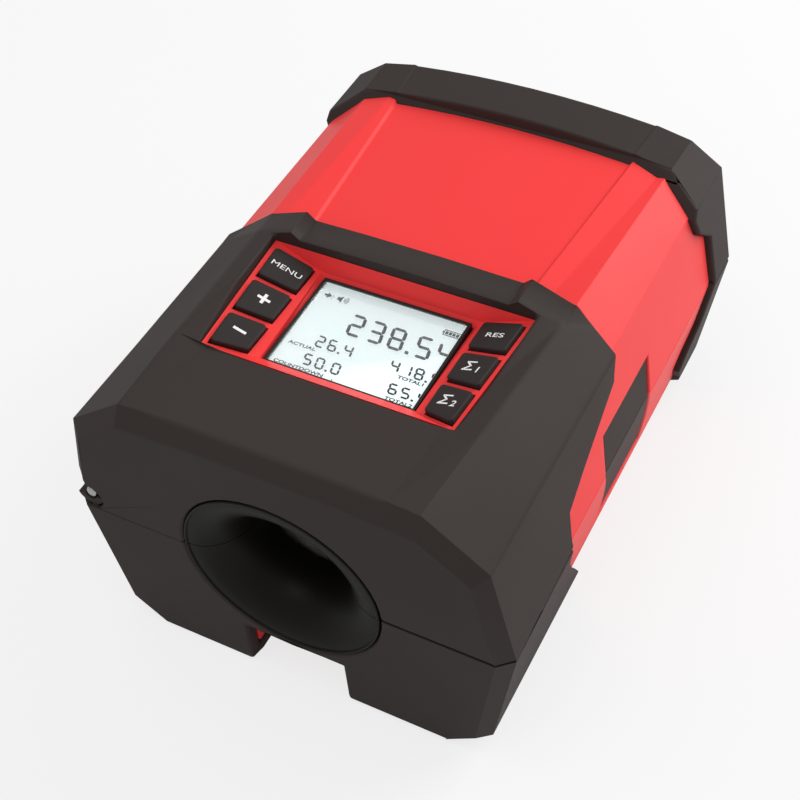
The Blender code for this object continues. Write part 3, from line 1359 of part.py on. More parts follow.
def measuring_wheel(materials):
    """Aluminium hub, toothed rubber tyre and slotted encoder disc."""
    centre = wheel_centre()
    bore = AXLE_RADIUS + RUNNING_GAP
    rim = WHEEL_RADIUS - TYRE_THICKNESS - GAP
    boss_end = WHEEL_HALF_WIDTH + HUB_BOSS_LENGTH
    hub = [(bore, -WHEEL_HALF_WIDTH), (rim, -WHEEL_HALF_WIDTH), (rim, WHEEL_HALF_WIDTH),
           (HUB_BOSS_RADIUS, WHEEL_HALF_WIDTH), (HUB_BOSS_RADIUS, boss_end), (bore, boss_end)]
    item = smooth(make_object("measuring_wheel", ring(hub, centre, TYRE_TEETH), materials["aluminium"]))
    centred(item, centre)
    tyre = bmesh.new()
    half_width = WHEEL_HALF_WIDTH
    loops = []
    for x, inner in ((-half_width, True), (-half_width, False), (half_width, False),
                     (half_width, True)):
        loop = []
        for index in range(2 * TYRE_TEETH):
            angle = math.pi * index / TYRE_TEETH
            radius = rim + GAP if inner else WHEEL_RADIUS - (index % 2) * TYRE_GROOVE
            offset = Vector((x, math.cos(angle) * radius, math.sin(angle) * radius))
            loop.append(centre + offset)
        loops.append(loop)
    tyre.free()
    item = make_object("wheel_tyre", bridge(loops, closed=True), materials["rubber"])
    centred(item, centre)
    start = WHEEL_HALF_WIDTH + GAP
    disc = [(HUB_BOSS_RADIUS + GAP, start), (ENCODER_RADIUS, start),
            (ENCODER_RADIUS, start + ENCODER_THICKNESS), (HUB_BOSS_RADIUS + GAP, start + ENCODER_THICKNESS)]
    item = make_object("encoder_disc", ring(disc, centre, 2 * ENCODER_SLOTS), materials["steel"])
    slot_radius = (HUB_BOSS_RADIUS + ENCODER_RADIUS * 2.0) / 3.0
    for index in range(ENCODER_SLOTS):
        angle = 2.0 * math.pi * (index + 1.0 / 4.0) / ENCODER_SLOTS
        spot = centre + Vector((start, math.cos(angle) * slot_radius, math.sin(angle) * slot_radius))
        reach = Vector((ENCODER_THICKNESS * 2.0, 0.0, 0.0))
        cut(item, make_object("slot", rod(ENCODER_THICKNESS * 3.0 / 4.0, spot - reach, spot + reach * 2.0,
                                          KEY_STEM_SEGMENTS // 2)))
    centred(item, centre)


def arm_plate(x_range, wheel_end, pivot_end, wheel_radius, pivot_radius):
    """Side plate of the arm: two round ends joined by straight tangent edges."""
    reach = Vector((pivot_end[0] - wheel_end[0], pivot_end[1] - wheel_end[1]))
    heading = math.atan2(reach.y, reach.x)
    flare = math.acos((wheel_radius - pivot_radius) / reach.length)
    outline = []
    steps = HINGE_SEGMENTS // 2
    for index in range(steps + 1):
        angle = heading + mix(flare, 2.0 * math.pi - flare, index / steps)
        outline.append((wheel_end[0] + wheel_radius * math.cos(angle),
                        wheel_end[1] + wheel_radius * math.sin(angle)))
    for index in range(steps + 1):
        angle = heading + mix(-flare, flare, index / steps)
        outline.append((pivot_end[0] + pivot_radius * math.cos(angle),
                        pivot_end[1] + pivot_radius * math.sin(angle)))
    return along_side(outline, *x_range)


def wheel_arm(materials):
    """Forked arm with a cross bar, its axle, the pickup board and the pivot pin."""
    wheel_end = (WHEEL_DEPTH, WHEEL_LEVEL)
    pivot_end = (PIVOT_DEPTH, PIVOT_LEVEL)
    outer_x = ARM_INNER_X + ARM_THICKNESS
    item = None
    for side in (-1.0, 1.0):
        x_range = (side * ARM_INNER_X, side * outer_x)
        plate = make_object("wheel_arm", arm_plate(x_range, wheel_end, pivot_end,
                                                   ARM_WHEEL_END_RADIUS, ARM_PIVOT_END_RADIUS),
                            materials["dark"])
        item = plate if item is None else join_bodies(item, plate)
    far = mix(WHEEL_DEPTH, PIVOT_DEPTH, ARM_BRIDGE_SHARE)
    rise = mix(WHEEL_LEVEL, PIVOT_LEVEL, ARM_BRIDGE_SHARE)
    inner = ARM_INNER_X + ARM_THICKNESS / 2.0
    join(item, make_object("bar", rod(ARM_BRIDGE_RADIUS, place(-inner, far, rise),
                                      place(inner, far, rise), KEY_STEM_SEGMENTS)))
    for station, height in (wheel_end, pivot_end):
        bore = rod(AXLE_RADIUS + GAP, place(-outer_x - OVERRUN, station, height),
                   place(outer_x + OVERRUN, station, height), HINGE_SEGMENTS)
        cut(item, make_object("bore", bore))
    item.name = "wheel_arm"
    centred(item, place(0.0, *pivot_end))
    axle = rod(AXLE_RADIUS, place(-outer_x, *wheel_end), place(outer_x, *wheel_end), HINGE_SEGMENTS)
    smooth(make_object("wheel_axle", axle, materials["steel"]))
    bracket_x = BRACKET_INNER_X + BRACKET_THICKNESS
    pin = rod(AXLE_RADIUS, place(-bracket_x, *pivot_end), place(bracket_x, *pivot_end), HINGE_SEGMENTS)
    smooth(make_object("arm_pivot_pin", pin, materials["steel"]))
    board_x = ARM_INNER_X - GAP
    near = WHEEL_DEPTH + AXLE_RADIUS * 2.0
    board = block((board_x - SENSOR_THICKNESS, board_x), (near, near + SENSOR_LENGTH),
                  (WHEEL_LEVEL, WHEEL_LEVEL + SENSOR_HEIGHT))
    make_object("sensor_board", board, materials["board"])


def join_bodies(item, other):
    """Hold two separate bodies in one mesh until a union joins them."""
    shape = bmesh.new()
    shape.from_mesh(item.data)
    shape.from_mesh(other.data)
    shape.to_mesh(item.data)
    shape.free()
    bpy.data.objects.remove(other)
    return item


def arm_bracket(materials):
    """Folded steel bracket that hangs the arm's pivot from the lid's roof."""
    top = lid_roof(PIVOT_DEPTH) - GAP
    outer_x = BRACKET_INNER_X + BRACKET_THICKNESS
    low = PIVOT_LEVEL - ARM_PIVOT_END_RADIUS
    item = make_object("arm_bracket", block((-outer_x, outer_x), (BRACKET_FRONT_DEPTH, BRACKET_REAR_DEPTH),
                                            (low, top)), materials["steel"])
    inside = block((-BRACKET_INNER_X, BRACKET_INNER_X),
                   (BRACKET_FRONT_DEPTH - OVERRUN, BRACKET_REAR_DEPTH + OVERRUN),
                   (low - OVERRUN, top - BRACKET_THICKNESS))
    cut(item, make_object("inside", inside))
    bore = rod(AXLE_RADIUS + GAP, place(-outer_x - OVERRUN, PIVOT_DEPTH, PIVOT_LEVEL),
               place(outer_x + OVERRUN, PIVOT_DEPTH, PIVOT_LEVEL), HINGE_SEGMENTS)
    cut(item, make_object("bore", bore))


def lid_roof(station):
    """Level of the flat strip inside the lid's roof over the bracket."""
    outline = inset(mirrored(body_half(station, stepped=False)), SKIN + WALL)
    edge = BRACKET_INNER_X + BRACKET_THICKNESS
    right = [(x, rise) for x, rise in outline if x >= edge and rise > FLANK_LEVEL]
    return max(rise for x, rise in right)


def arm_spring(material):
    """Torsion spring round the pivot pin, with one leg to the arm's bar and one to the bracket."""
    curve = bpy.data.curves.new("arm_spring", "CURVE")
    curve.dimensions = "3D"
    curve.bevel_depth = SPRING_WIRE_RADIUS
    curve.bevel_resolution = 1
    curve.use_fill_caps = True
    count = SPRING_TURNS * SPRING_POINTS_PER_TURN
    span = SPRING_TURNS * SPRING_PITCH
    points = []
    for index in range(count + 1):
        angle = 2.0 * math.pi * index / SPRING_POINTS_PER_TURN
        x = span * (index / count - 1.0 / 2.0)
        points.append(place(x, PIVOT_DEPTH + SPRING_COIL_RADIUS * math.sin(angle),
                            PIVOT_LEVEL + SPRING_COIL_RADIUS * math.cos(angle)))
    to_bar = Vector((WHEEL_DEPTH - PIVOT_DEPTH, WHEEL_LEVEL - PIVOT_LEVEL)) * (1.0 - ARM_BRIDGE_SHARE)
    to_tip = to_bar.normalized() * (to_bar.length - ARM_BRIDGE_RADIUS - SPRING_WIRE_RADIUS - GAP)
    roof = lid_roof(PIVOT_DEPTH) - GAP - BRACKET_THICKNESS - GAP
    front_tip = place(-span / 2.0, PIVOT_DEPTH + to_tip.x, PIVOT_LEVEL + to_tip.y)
    rear_tip = place(span / 2.0, PIVOT_DEPTH + SPRING_COIL_RADIUS, roof)
    points = [front_tip] + points + [rear_tip]
    spline = curve.splines.new("POLY")
    spline.points.add(len(points) - 1)
    for target, point in zip(spline.points, points):
        target.co = (*point, 1.0)
    item = bpy.data.objects.new("arm_spring", curve)
    bpy.context.collection.objects.link(item)
    curve.materials.append(material)
    gap = least_gap(points)
    print(f"arm_spring least gap to itself {gap * MILLIMETRES:.2f} mm")
    return item


def least_gap(points):
    """Least distance between turns of the spring, less the wire's diameter."""
    nearest = LENGTH
    skip = SPRING_POINTS_PER_TURN // 2
    for first in range(len(points)):
        for second in range(first + skip, len(points)):
            nearest = min(nearest, (points[first] - points[second]).length)
    return nearest - 2.0 * SPRING_WIRE_RADIUS


def roller_depths():
    """Depths of the guide rollers, as shares of the length."""
    return [LENGTH * share for share in ROLLER_DEPTHS_SHARES]


def guide_rollers(materials):
    """Concave rollers on fixed axles."""
    for index, station in enumerate(roller_depths()):
        centre = place(0.0, station, ROLLER_LEVEL)
        profile = []
        for step in range(ROLLER_STEPS + 1):
            travel = ROLLER_HALF_WIDTH * (2.0 * step / ROLLER_STEPS - 1.0)
            share = (travel / ROLLER_HALF_WIDTH) ** 2
            profile.append((mix(ROLLER_WAIST_RADIUS, ROLLER_END_RADIUS, share), travel))
        bore = AXLE_RADIUS + RUNNING_GAP
        profile += [(bore, ROLLER_HALF_WIDTH), (bore, -ROLLER_HALF_WIDTH)]
        item = make_object(f"guide_roller_{index + 1}", ring(profile, centre, ROLLER_SEGMENTS),
                           materials["roller"])
        smooth(item)
        centred(item, centre)
        reach = Vector((FRAME_INNER_X + FRAME_THICKNESS, 0.0, 0.0))
        axle = rod(AXLE_RADIUS, centre - reach, centre + reach, HINGE_SEGMENTS)
        smooth(make_object(f"roller_axle_{index + 1}", axle, materials["steel"]))


def frame_screw_length():
    """Length of the guide frame's screws below their heads, which ends in the channel's roof."""
    return FRAME_FLOOR + CHANNEL_WALL / 2.0


def frame_screw_points():
    """Seats of the guide frame's screws on its floor."""
    shares = ROLLER_DEPTHS_SHARES
    floor = CHANNEL_ROOF_LEVEL + CHANNEL_WALL + GAP + FRAME_FLOOR
    front = LENGTH * (shares[0] + shares[1]) / 2.0
    rear = LENGTH * (shares[2] + shares[3]) / 2.0
    return [place(0.0, front, floor), place(0.0, rear, floor)]


def guide_frame(material):
    """Trough that carries the roller axles, with its floor open under each roller."""
    low = CHANNEL_ROOF_LEVEL + CHANNEL_WALL + GAP
    outer_x = FRAME_INNER_X + FRAME_THICKNESS
    span = (FRAME_FRONT_DEPTH, FRAME_REAR_DEPTH)
    item = make_object("guide_frame", block((-outer_x, outer_x), span, (low, FRAME_TOP_LEVEL)), material)
    inside = block((-FRAME_INNER_X, FRAME_INNER_X), (span[0] - OVERRUN, span[1] + OVERRUN),
                   (low + FRAME_FLOOR, FRAME_TOP_LEVEL + OVERRUN))
    cut(item, make_object("inside", inside))
    for station in roller_depths():
        centre = (station, ROLLER_LEVEL)
        bore = rod(AXLE_RADIUS + GAP, place(-outer_x - OVERRUN, *centre),
                   place(outer_x + OVERRUN, *centre), HINGE_SEGMENTS)
        cut(item, make_object("bore", bore))
        reach = ROLLER_END_RADIUS + RUNNING_GAP
        well = block((-FRAME_INNER_X, FRAME_INNER_X), (station - reach, station + reach),
                     (low - OVERRUN, low + FRAME_FLOOR + OVERRUN))
        cut(item, make_object("well", well))
    for seat in frame_screw_points():
        down = Vector((0.0, 0.0, FRAME_FLOOR + OVERRUN))
        cut(item, make_object("hole", rod(SCREW_RADIUS + GAP, seat - down, seat + down, SCREW_SEGMENTS)))
    return item


def main():
    """Build every piece."""
    for item in list(bpy.data.objects):
        bpy.data.objects.remove(item)
    materials = {key: make_material(*values) for key, values in FINISHES.items()}
    upper_housing(materials["red"])
    lower_housing(materials["red"])
    for upper, suffix in ((True, "upper"), (False, "lower")):
        front_cover(f"front_cover_{suffix}", upper, materials["cover"])
        rear_cover(f"rear_cover_{suffix}", upper, materials["cover"])
        funnel(f"front_funnel_{suffix}", True, upper, materials["funnel"])
        funnel(f"rear_funnel_{suffix}", False, upper, materials["funnel"])
        side_grip(f"side_grip_{suffix}", upper, materials["dark"])
        magnets(suffix, upper, materials["steel"])
    hinge_pin("hinge_pin_front", True, materials["steel"])
    hinge_pin("hinge_pin_rear", False, materials["steel"])
    display_tray(materials["red"])
    display_parts(materials)
    for side, names in ((-1.0, KEY_NAMES_LEFT), (1.0, KEY_NAMES_RIGHT)):
        for index, name in enumerate(names):
            key(name, side, index, materials["dark"])
    electronics(materials)
    liner(materials["dark"])
    for index, (x, station) in enumerate(post_points()):
        seat = place(x, station, liner_screw_level())
        screw(f"liner_screw_{index + 1}", seat, 1.0, SCREW_LENGTH - SCREW_HEAD_HEIGHT, materials["steel"])
    cells(materials)
    measuring_wheel(materials)
    wheel_arm(materials)
    arm_bracket(materials)
    arm_spring(materials["steel"])
    guide_frame(materials["dark"])
    guide_rollers(materials)
    for index, seat in enumerate(frame_screw_points()):
        screw(f"frame_screw_{index + 1}", seat + Vector((0.0, 0.0, GAP)), -1.0,
              frame_screw_length() + GAP, materials["steel"])


main()
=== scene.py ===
# %% [markdown]
# # Looks of a clamp-on cable length counter
#
# The object is a red clamshell body with dark rubber-like covers on both ends. A cable runs through
# it from funnel to funnel, a wheel inside rolls on the cable, and a screen shows the length. The hard
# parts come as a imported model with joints. This lesson gives them rounded edges, real finishes, a
# working-looking screen and lettered keys, and lights them as for a catalogue picture.

import json
import math

import bmesh
import bpy
import numpy as np
from mathutils import Matrix, Vector
from mathutils.bvhtree import BVHTree


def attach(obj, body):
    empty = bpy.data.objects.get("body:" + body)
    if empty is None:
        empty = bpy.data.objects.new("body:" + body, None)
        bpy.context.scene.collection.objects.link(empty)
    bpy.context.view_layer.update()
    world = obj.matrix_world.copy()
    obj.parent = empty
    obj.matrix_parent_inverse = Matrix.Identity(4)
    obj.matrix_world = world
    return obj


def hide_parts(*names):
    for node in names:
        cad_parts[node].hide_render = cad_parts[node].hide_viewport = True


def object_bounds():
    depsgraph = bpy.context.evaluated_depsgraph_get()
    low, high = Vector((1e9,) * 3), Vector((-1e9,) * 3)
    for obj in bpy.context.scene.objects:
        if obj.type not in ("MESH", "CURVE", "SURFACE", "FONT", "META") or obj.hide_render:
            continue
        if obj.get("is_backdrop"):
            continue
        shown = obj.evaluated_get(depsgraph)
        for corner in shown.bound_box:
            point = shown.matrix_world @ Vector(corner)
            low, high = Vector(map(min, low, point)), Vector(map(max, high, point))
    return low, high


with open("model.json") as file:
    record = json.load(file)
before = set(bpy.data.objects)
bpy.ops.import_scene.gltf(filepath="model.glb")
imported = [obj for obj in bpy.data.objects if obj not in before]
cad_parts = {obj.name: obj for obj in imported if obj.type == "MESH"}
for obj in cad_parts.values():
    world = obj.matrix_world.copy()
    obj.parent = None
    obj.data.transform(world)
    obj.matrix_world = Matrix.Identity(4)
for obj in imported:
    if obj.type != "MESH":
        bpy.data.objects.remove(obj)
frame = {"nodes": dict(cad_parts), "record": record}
model_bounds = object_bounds()
NODES = frame["nodes"]
BODY_OF = {node: body for body, members in frame["record"]["behaviour"]["bodies"].items()
           for node in members}

# %% [markdown]
# ## Camera
#
# A catalogue picture of a small tool is taken from above one corner with a long lens, so that the
# face with the cable's entry, the top with the screen and one flank all show. The camera could be
# aimed with a Track To constraint. Here its place and its three axes are written down, because they
# were worked out from the directions of the object's edges in the picture.

# %% Camera
CAMERA_PLACE = (0.174759, -0.300367, 0.427395)
CAMERA_RIGHT = (0.88629, 0.45825, -0.06702)
CAMERA_UP = (-0.30215, 0.68182, 0.66621)
CAMERA_BACK = (0.35099, -0.57021, 0.74275)
LENS_MM = 67.52
SENSOR_MM = 36.0

lens = bpy.data.cameras.new("camera")
lens.lens = LENS_MM
lens.sensor_width = SENSOR_MM
lens.clip_start = 0.01
camera = bpy.data.objects.new("camera", lens)
axes = Matrix((CAMERA_RIGHT, CAMERA_UP, CAMERA_BACK)).transposed().to_4x4()
camera.matrix_world = Matrix.Translation(CAMERA_PLACE) @ axes
bpy.context.scene.collection.objects.link(camera)
bpy.context.scene.camera = camera
print("camera", [round(value, 3) for value in camera.location])

# %% [markdown]
# ## Studio
#
# The background is clean white and the light soft, as in a light tent: one large lamp high behind
# the right flank, whose sheen lies on the shoulder, a weaker one overhead, and an even surround. The
# floor is a plain sheet. It looks white to the camera through Light Path's Is Camera Ray, so no extra
# light has to fall on the object.

# %% Studio
FLOOR_SIZE = 6.0
FLOOR_COLOR = (0.80, 0.80, 0.80, 1.0)
WHITE = (1.0, 1.0, 1.0, 1.0)


def area_lamp(name, place, aim, size, power):
    """Soft square lamp at a place, its minus Z turned towards a point."""
    lamp = bpy.data.lights.new(name, "AREA")
    lamp.size = size
    lamp.energy = power
    item = bpy.data.objects.new(name, lamp)
    item.location = place
    item.rotation_euler = (Vector(aim) - Vector(place)).to_track_quat("-Z", "Y").to_euler()
    bpy.context.scene.collection.objects.link(item)
    print(name, "power", power)


MIDDLE = (0.0, 0.0, 0.06)
LAMPS = (("key_lamp", (0.62, 0.80, 0.66), 0.7, 9.0), ("top_lamp", (-0.15, -0.25, 1.20), 0.8, 3.5))
for name, place, size, power in LAMPS:
    area_lamp(name, place, MIDDLE, size, power)
bpy.context.scene.view_settings.view_transform = "Standard"

# %% [markdown]
# ## Shader arithmetic
#
# A finish is a small network of nodes. Written out node by node it is hard to read, so a Wire wraps
# one socket and Python's operators add the Math nodes: 1 - mask works as on paper. Finish.node adds
# any other node from its type, its settings and its inputs.

# %% Wires and finishes
class Wire:
    """One output socket; each operator adds the Math node of its name."""

    def __init__(self, finish, socket):
        self.finish = finish
        self.socket = socket

    def math(self, operation, *values):
        """Math node of an operation on wires and numbers."""
        inputs = dict(enumerate(values))
        return self.finish.node("ShaderNodeMath", {"operation": operation}, inputs)

    def __add__(self, other):
        return self.math("ADD", self, other)

    __radd__ = __add__

    def __sub__(self, other):
        return self.math("SUBTRACT", self, other)

    def __rsub__(self, other):
        return self.math("SUBTRACT", other, self)

    def __mul__(self, other):
        return self.math("MULTIPLY", self, other)

    __rmul__ = __mul__


class Finish:
    """A material under construction."""

    def __init__(self, name):
        self.material = bpy.data.materials.new(name)
        self.material.use_nodes = True
        self.tree = self.material.node_tree
        self.tree.nodes.clear()

    def feed(self, socket, value):
        """Link a wire to a socket, or write a plain value on it."""
        if isinstance(value, Wire):
            self.tree.links.new(value.socket, socket)
        else:
            socket.default_value = value

    def node(self, kind, settings=(), inputs=(), output=0):
        """Add a node: settings first, then its sockets."""
        made = self.tree.nodes.new(kind)
        for name, value in dict(settings).items():
            setattr(made, name, value)
        for name, value in dict(inputs).items():
            self.feed(made.inputs[name], value)
        return Wire(self, made.outputs[output])

    def place(self):
        """The point's own coordinates in metres."""
        return self.node("ShaderNodeTexCoord", output="Object")

    def noise(self, scale, detail=2.0, roughness=0.5, vector=None):
        """Fine uneven value around a half; scale counts lumps in a metre."""
        where = vector or self.place()
        return self.node("ShaderNodeTexNoise", {"noise_dimensions": "3D"},
                         {"Vector": where, "Scale": scale, "Detail": detail, "Roughness": roughness})

    def tint(self, factor, first, second):
        """Colour between two colours, by a mask."""
        return self.node("ShaderNodeMix", {"data_type": "RGBA"},
                         {0: factor, 6: first, 7: second}, output=2)

    def bump(self, height, distance, strength=1.0):
        """Normal of a surface raised by height times a distance in metres."""
        return self.node("ShaderNodeBump", (),
                         {"Height": height, "Distance": distance, "Strength": strength})

    def surface(self, **inputs):
        """The material's shader; names are the Principled shader's sockets."""
        sockets = {name.replace("_", " "): value for name, value in inputs.items()}
        shader = self.node("ShaderNodeBsdfPrincipled", (), sockets)
        self.finish_with(shader)
        return self.material

    def finish_with(self, shader):
        """Join a shader to the material's output."""
        end = self.tree.nodes.new("ShaderNodeOutputMaterial")
        self.tree.links.new(shader.socket, end.inputs["Surface"])


def shade(red, green, blue):
    """Linear colour of a screen colour given as 0 to 255 in each channel."""
    channels = np.array((red, green, blue)) / 255.0
    linear = np.where(channels <= 0.04045, channels / 12.92, ((channels + 0.055) / 1.055) ** 2.4)
    return (*[float(value) for value in linear], 1.0)


print("red as linear", [round(value, 3) for value in shade(247, 76, 76)])

# %% Floor and surround
WHITE_TO_CAMERA = 0.76
WHITE_TO_GLOSS = 0.10
SURROUND_LIGHT = 0.50
SURROUND_SEEN = 1.0

floor_finish = Finish("studio_floor")
seen = floor_finish.node("ShaderNodeLightPath", output="Is Camera Ray")
mirrored_ray = floor_finish.node("ShaderNodeLightPath", output="Is Glossy Ray")
matt = floor_finish.node("ShaderNodeBsdfDiffuse", (), {"Color": FLOOR_COLOR})
lit = floor_finish.node("ShaderNodeEmission", (), {"Color": WHITE, "Strength": 1.0})
white_share = seen * WHITE_TO_CAMERA + mirrored_ray * WHITE_TO_GLOSS
floor_finish.finish_with(floor_finish.node("ShaderNodeMixShader", (), {0: white_share, 1: matt, 2: lit}))
half = FLOOR_SIZE / 2.0
floor_mesh = bpy.data.meshes.new("studio_floor")
floor_mesh.from_pydata([(-half, -half, 0.0), (half, -half, 0.0), (half, half, 0.0), (-half, half, 0.0)],
                       [], [(0, 1, 2, 3)])
floor_mesh.materials.append(floor_finish.material)
floor = bpy.data.objects.new("studio_floor", floor_mesh)
bpy.context.scene.collection.objects.link(floor)
floor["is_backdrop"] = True

world = bpy.data.worlds.new("surround")
bpy.context.scene.world = world
world.use_nodes = True
tree = world.node_tree
background = tree.nodes["Background"]
background.inputs["Color"].default_value = WHITE
direct = tree.nodes.new("ShaderNodeLightPath")
strength = tree.nodes.new("ShaderNodeMapRange")
strength.inputs["To Min"].default_value = SURROUND_LIGHT
strength.inputs["To Max"].default_value = SURROUND_SEEN
tree.links.new(direct.outputs["Is Camera Ray"], strength.inputs["Value"])
tree.links.new(strength.outputs["Result"], background.inputs["Strength"])
print("floor and surround ready")

# %% [markdown]
# ## Finishes
#
# The body is injection-moulded plastic: strong colour, satin shine, and a very fine grain that breaks
# up reflections. The end covers are a softer, darker compound with more grain and less shine. Each
# finish could be one flat colour. Noise at two scales in roughness and bump makes it read as
# moulded, because no real mould is perfectly even.

# %% Moulded finishes
SLOW_SCALE = 22.0
SLOW_ROUGHNESS = 0.08
FINE_ROUGHNESS = 0.06
LINE_STRETCH = (0.04, 1.0, 1.0)
LINE_ROUGHNESS = 0.22
LINE_DEPTH = 0.000006


def moulded(name, color, deep, roughness, grain_scale, grain_depth, specular=0.18):
    """Moulded plastic: colour between two shades by slow noise, and a fine grain."""
    finish = Finish(name)
    slow = finish.noise(SLOW_SCALE)
    fine = finish.noise(grain_scale, 2.0, 0.6)
    color_wire = finish.tint(slow, color, deep)
    rough = roughness + (slow - 0.5) * SLOW_ROUGHNESS + (fine - 0.5) * FINE_ROUGHNESS
    return finish.surface(Base_Color=color_wire, Roughness=rough, Specular_IOR_Level=specular,
                          Normal=finish.bump(fine, grain_depth))


RED = moulded("red_satin_plastic", shade(247, 66, 66), shade(243, 60, 61), 0.42, 5200.0, 0.000012)
COVER = moulded("dark_soft_cover", shade(60, 53, 50), shade(56, 49, 47), 0.55, 3600.0, 0.00003, 0.12)
KEY_RUBBER = moulded("key_rubber", shade(50, 45, 43), shade(46, 41, 40), 0.50, 4200.0, 0.00001)
FUNNEL = moulded("smooth_black_plastic", shade(24, 22, 20), shade(21, 19, 17), 0.42, 2600.0, 0.00001,
                 0.12)
FRAME_BLACK = moulded("fine_black_plastic", shade(46, 42, 40), shade(42, 39, 37), 0.45, 5000.0, 0.00001)
ROLLER = moulded("white_nylon", shade(205, 203, 196), shade(196, 193, 184), 0.40, 1800.0, 0.00001)
TYRE = moulded("wheel_rubber", shade(38, 36, 35), shade(32, 31, 30), 0.68, 2600.0, 0.00003, 0.3)
GREEN = moulded("board_lacquer", shade(28, 86, 52), shade(24, 78, 47), 0.35, 1500.0, 0.00001)
JACKET = moulded("cell_jacket", shade(64, 70, 78), shade(56, 62, 70), 0.35, 1200.0, 0.00001)


def metal(name, color, roughness, line_scale):
    """Bare metal: its roughness follows fine drawn lines, from noise stretched along x."""
    finish = Finish(name)
    stretched = finish.node("ShaderNodeMapping", (), {"Vector": finish.place(),
                                                      "Scale": LINE_STRETCH})
    lines = finish.noise(line_scale, 3.0, 0.6, stretched)
    rough = roughness + (lines - 0.5) * LINE_ROUGHNESS
    return finish.surface(Base_Color=color, Metallic=1.0, Roughness=rough,
                          Normal=finish.bump(lines, LINE_DEPTH))


STEEL = metal("drawn_steel", shade(190, 190, 192), 0.30, 3200.0)
ALUMINIUM = metal("turned_aluminium", shade(215, 216, 218), 0.34, 2400.0)
print("finishes", len(bpy.data.materials))

# %% [markdown]
# ## Screen and window
#
# The screen is a reflective liquid crystal panel: a pale, slightly blue-green sheet with dark
# figures, under a thin clear window. The panel could be an image. Drawn figures stay sharp at any
# distance, so the panel only gets its finish here: pale where the window shows it, dark on its
# border and sides. The pale part also glows by emission. This is a painted glow, since a reflective
# panel gives off no light of its own. The window is a mix of see-through and gloss by Fresnel.

# %% Screen finishes
PANEL_HEIGHT = 0.0989
SCREEN_EDGE = 0.0249
PANEL_SKIN = 0.0001
# Painted glow: strength of the emission on the pale part of the panel, which in truth only reflects
# light.
SCREEN_PAINTED_GLOW = 0.45
WINDOW_IOR = 1.45
WINDOW_GLOSS = 0.35
BLACK = (0.0, 0.0, 0.0, 1.0)

panel = Finish("screen_panel")
cloud = panel.noise(30.0, 1.0)
pale = panel.tint(cloud, shade(238, 250, 250), shade(231, 247, 248))
across = panel.node("ShaderNodeSeparateXYZ", (), {0: panel.place()}, output="X")
level = panel.node("ShaderNodeSeparateXYZ", (), {0: panel.place()}, output="Z")
within = across.math("LESS_THAN", across.math("ABSOLUTE", across), SCREEN_EDGE)
# Mask of the pale part: it takes the panel's own pale colour and a painted glow by emission; the rest
# stays dark.
pale_glow_part = within * level.math("GREATER_THAN", level, PANEL_HEIGHT - PANEL_SKIN)
panel.surface(Base_Color=panel.tint(pale_glow_part, shade(40, 38, 36), pale), Roughness=0.5,
              Specular_IOR_Level=0.2, Emission_Color=panel.tint(pale_glow_part, BLACK, pale),
              Emission_Strength=SCREEN_PAINTED_GLOW)
SCREEN = panel.material

ink = Finish("screen_figures")
dense = ink.noise(900.0, 1.0)
ink.surface(Base_Color=ink.tint(dense, shade(18, 20, 22), shade(26, 28, 30)), Roughness=0.5,
            Specular_IOR_Level=0.1)
INK = ink.material

clear = Finish("clear_window")
edge = clear.node("ShaderNodeFresnel", (), {"IOR": WINDOW_IOR})
faint = clear.noise(60.0, 1.0)
through = clear.node("ShaderNodeBsdfTransparent")
gloss = clear.node("ShaderNodeBsdfGlossy", (), {"Roughness": 0.06 + faint * 0.03})
clear.finish_with(clear.node("ShaderNodeMixShader", (), {0: edge * WINDOW_GLOSS, 1: through, 2: gloss}))
WINDOW = clear.material

legend = Finish("key_legend")
speck = legend.noise(1500.0, 1.0)
legend.surface(Base_Color=legend.tint(speck, shade(246, 246, 246), shade(238, 238, 238)), Roughness=0.5)
LEGEND = legend.material
print("screen finishes ready")

# %% [markdown]
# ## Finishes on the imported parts
#
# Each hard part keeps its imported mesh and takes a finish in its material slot. Parts that need
# softer edges or a rounder form are replaced further down.

# %% Assign finishes
FINISHES = (
    (RED, ("upper_housing", "lower_housing", "display_tray")),
    (COVER, ("front_cover_upper", "front_cover_lower", "rear_cover_upper", "rear_cover_lower",
             "side_grip_upper", "side_grip_lower")),
    (KEY_RUBBER, ("key_menu", "key_plus", "key_minus", "key_reset", "key_total_1", "key_total_2",
                  "key_mat")),
    (FUNNEL, ("front_funnel_upper", "front_funnel_lower", "rear_funnel_upper", "rear_funnel_lower")),
    (FRAME_BLACK, ("display_frame", "lid_liner", "battery_tray", "battery_door", "wheel_arm",
                   "arm_bracket", "guide_frame", "buzzer")),
    (STEEL, ("hinge_pin_front", "hinge_pin_rear", "arm_pivot_pin", "arm_spring", "wheel_axle",
             "roller_axle_1", "roller_axle_2", "roller_axle_3", "roller_axle_4", "frame_screw_1",
             "frame_screw_2", "liner_screw_1", "liner_screw_2", "encoder_disc",
             "battery_contact_front", "battery_contact_rear", "closing_magnet_front_upper",
             "closing_magnet_front_lower", "closing_magnet_rear_upper", "closing_magnet_rear_lower")),
    (ALUMINIUM, ("measuring_wheel",)),
    (ROLLER, ("guide_roller_1", "guide_roller_2", "guide_roller_3", "guide_roller_4")),
    (TYRE, ("wheel_tyre",)),
    (GREEN, ("circuit_board", "sensor_board")),
    (JACKET, ("battery_cell_1", "battery_cell_2")),
    (SCREEN, ("display_panel",)),
    (WINDOW, ("display_window",)),
)
FINISH_OF = {}
for material, names in FINISHES:
    for name in names:
        FINISH_OF[name] = material
        for slot in NODES[name].material_slots:
            slot.material = material
print("without a finish:", sorted(set(NODES) - set(FINISH_OF)))

